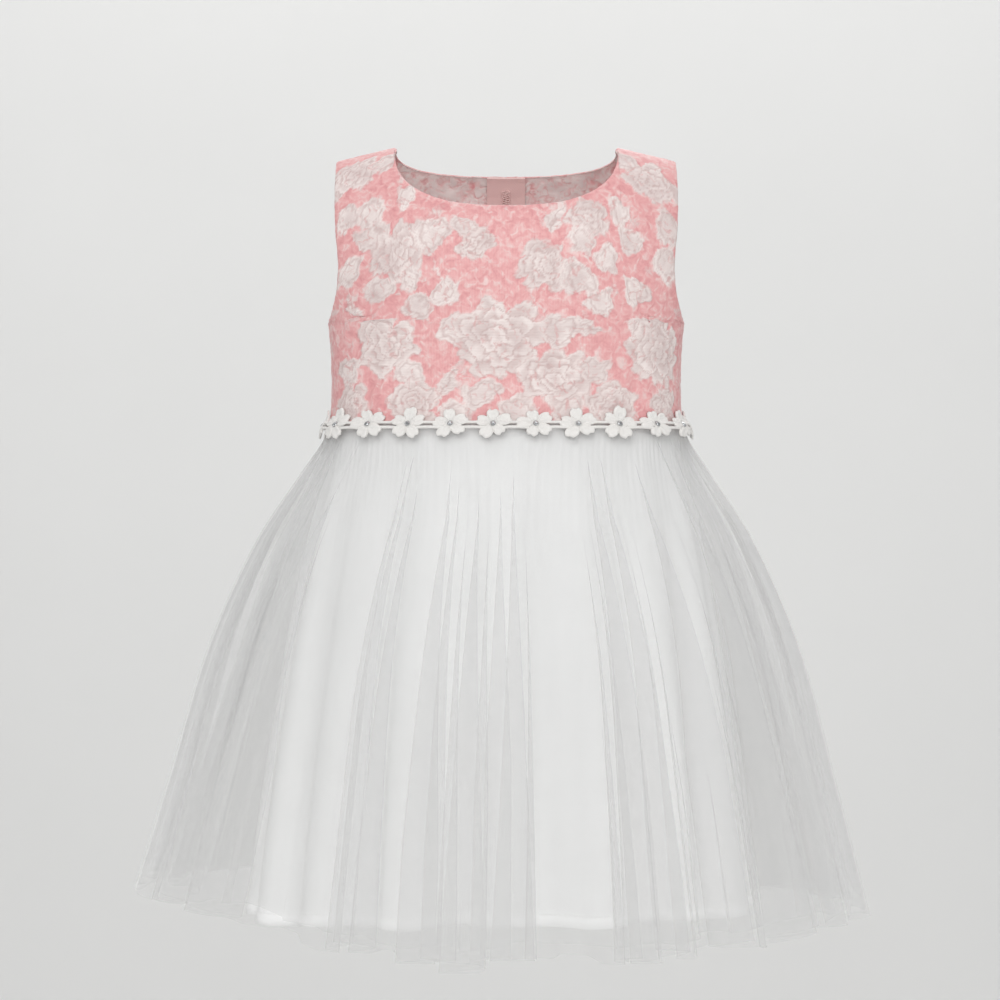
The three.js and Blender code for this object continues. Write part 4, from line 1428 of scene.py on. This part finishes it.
def make_stage():
    """A pale paper floor that sweeps up into a wall, in metres."""
    turn = np.linspace(0, QUARTER, 25)
    bend_y = WALL_Y - SWEEP_BEND * (1 - np.sin(turn))
    bend_z = FLOOR_Z + SWEEP_BEND * (1 - np.cos(turn))
    profile = [(-STAGE_DEPTH, FLOOR_Z), *zip(bend_y, bend_z), (WALL_Y, WALL_TOP)]
    points = [(x, y, z) for x in (-STAGE_HALF_WIDTH, STAGE_HALF_WIDTH) for y, z in profile]
    count = len(profile)
    faces = [(k, count + k, count + k + 1, k + 1) for k in range(count - 1)]
    on_stage("paper_sweep", points, faces, PAPER)


def area_light(name, place, target, size, power):
    light = bpy.data.lights.new(name, "AREA")
    light.shape = "RECTANGLE"
    light.size, light.size_y = size
    light.energy = power
    lamp = bpy.data.objects.new(name, light)
    lamp.location = place
    way = Vector(target) - Vector(place)
    lamp.rotation_euler = way.to_track_quat("-Z", "Y").to_euler()
    bpy.context.scene.collection.objects.link(lamp)


def make_lights():
    """Soft high-key studio light: a large front key from above, a fill, and light on the backdrop."""
    for light in LIGHTS:
        area_light(**light)
    world = bpy.data.worlds.new("studio")
    world.use_nodes = True
    world.node_tree.nodes["Background"].inputs[0].default_value = colour("#FFFFFF")
    world.node_tree.nodes["Background"].inputs[1].default_value = ROOM_LIGHT
    bpy.context.scene.world = world


def make_camera():
    """A level camera before the dress, with the photograph's width of view at the side seams."""
    camera = bpy.data.cameras.new("camera")
    camera.sensor_width = 36
    camera.lens = 36 * CAMERA_DISTANCE / (1000 * PIXEL)
    camera.shift_y = -(500 - HORIZON_ROW) / 1000
    holder = bpy.data.objects.new("camera", camera)
    height = -(HORIZON_ROW - NECK_ROW) * PIXEL
    holder.location = (CAMERA_X * MM, -CAMERA_DISTANCE * MM, height * MM)
    holder.rotation_euler = (QUARTER, 0, 0)
    bpy.context.scene.collection.objects.link(holder)
    bpy.context.scene.camera = holder


def main():
    make_camera()
    make_stage()
    make_lights()
    bpy.context.scene.view_settings.view_transform = "Standard"
    bpy.context.scene.cycles.transparent_max_bounces = 48
    bodice = make_bodice()
    underskirt = make_underskirt()
    make_joined("underskirt_hem_stitches", hem_stitches(), WHITE_THREAD)
    inner = make_tulle("tulle_inner", TULLE_INNER, TULLE_UNDER)
    outer = make_tulle("tulle_outer", TULLE_OUTER, TULLE_OVER)
    trim, stones = make_trim()
    coil = make_coil()
    make_joined("zip_stitches", zip_stitches(), PINK_THREAD)
    dress_cad_nodes()


main()
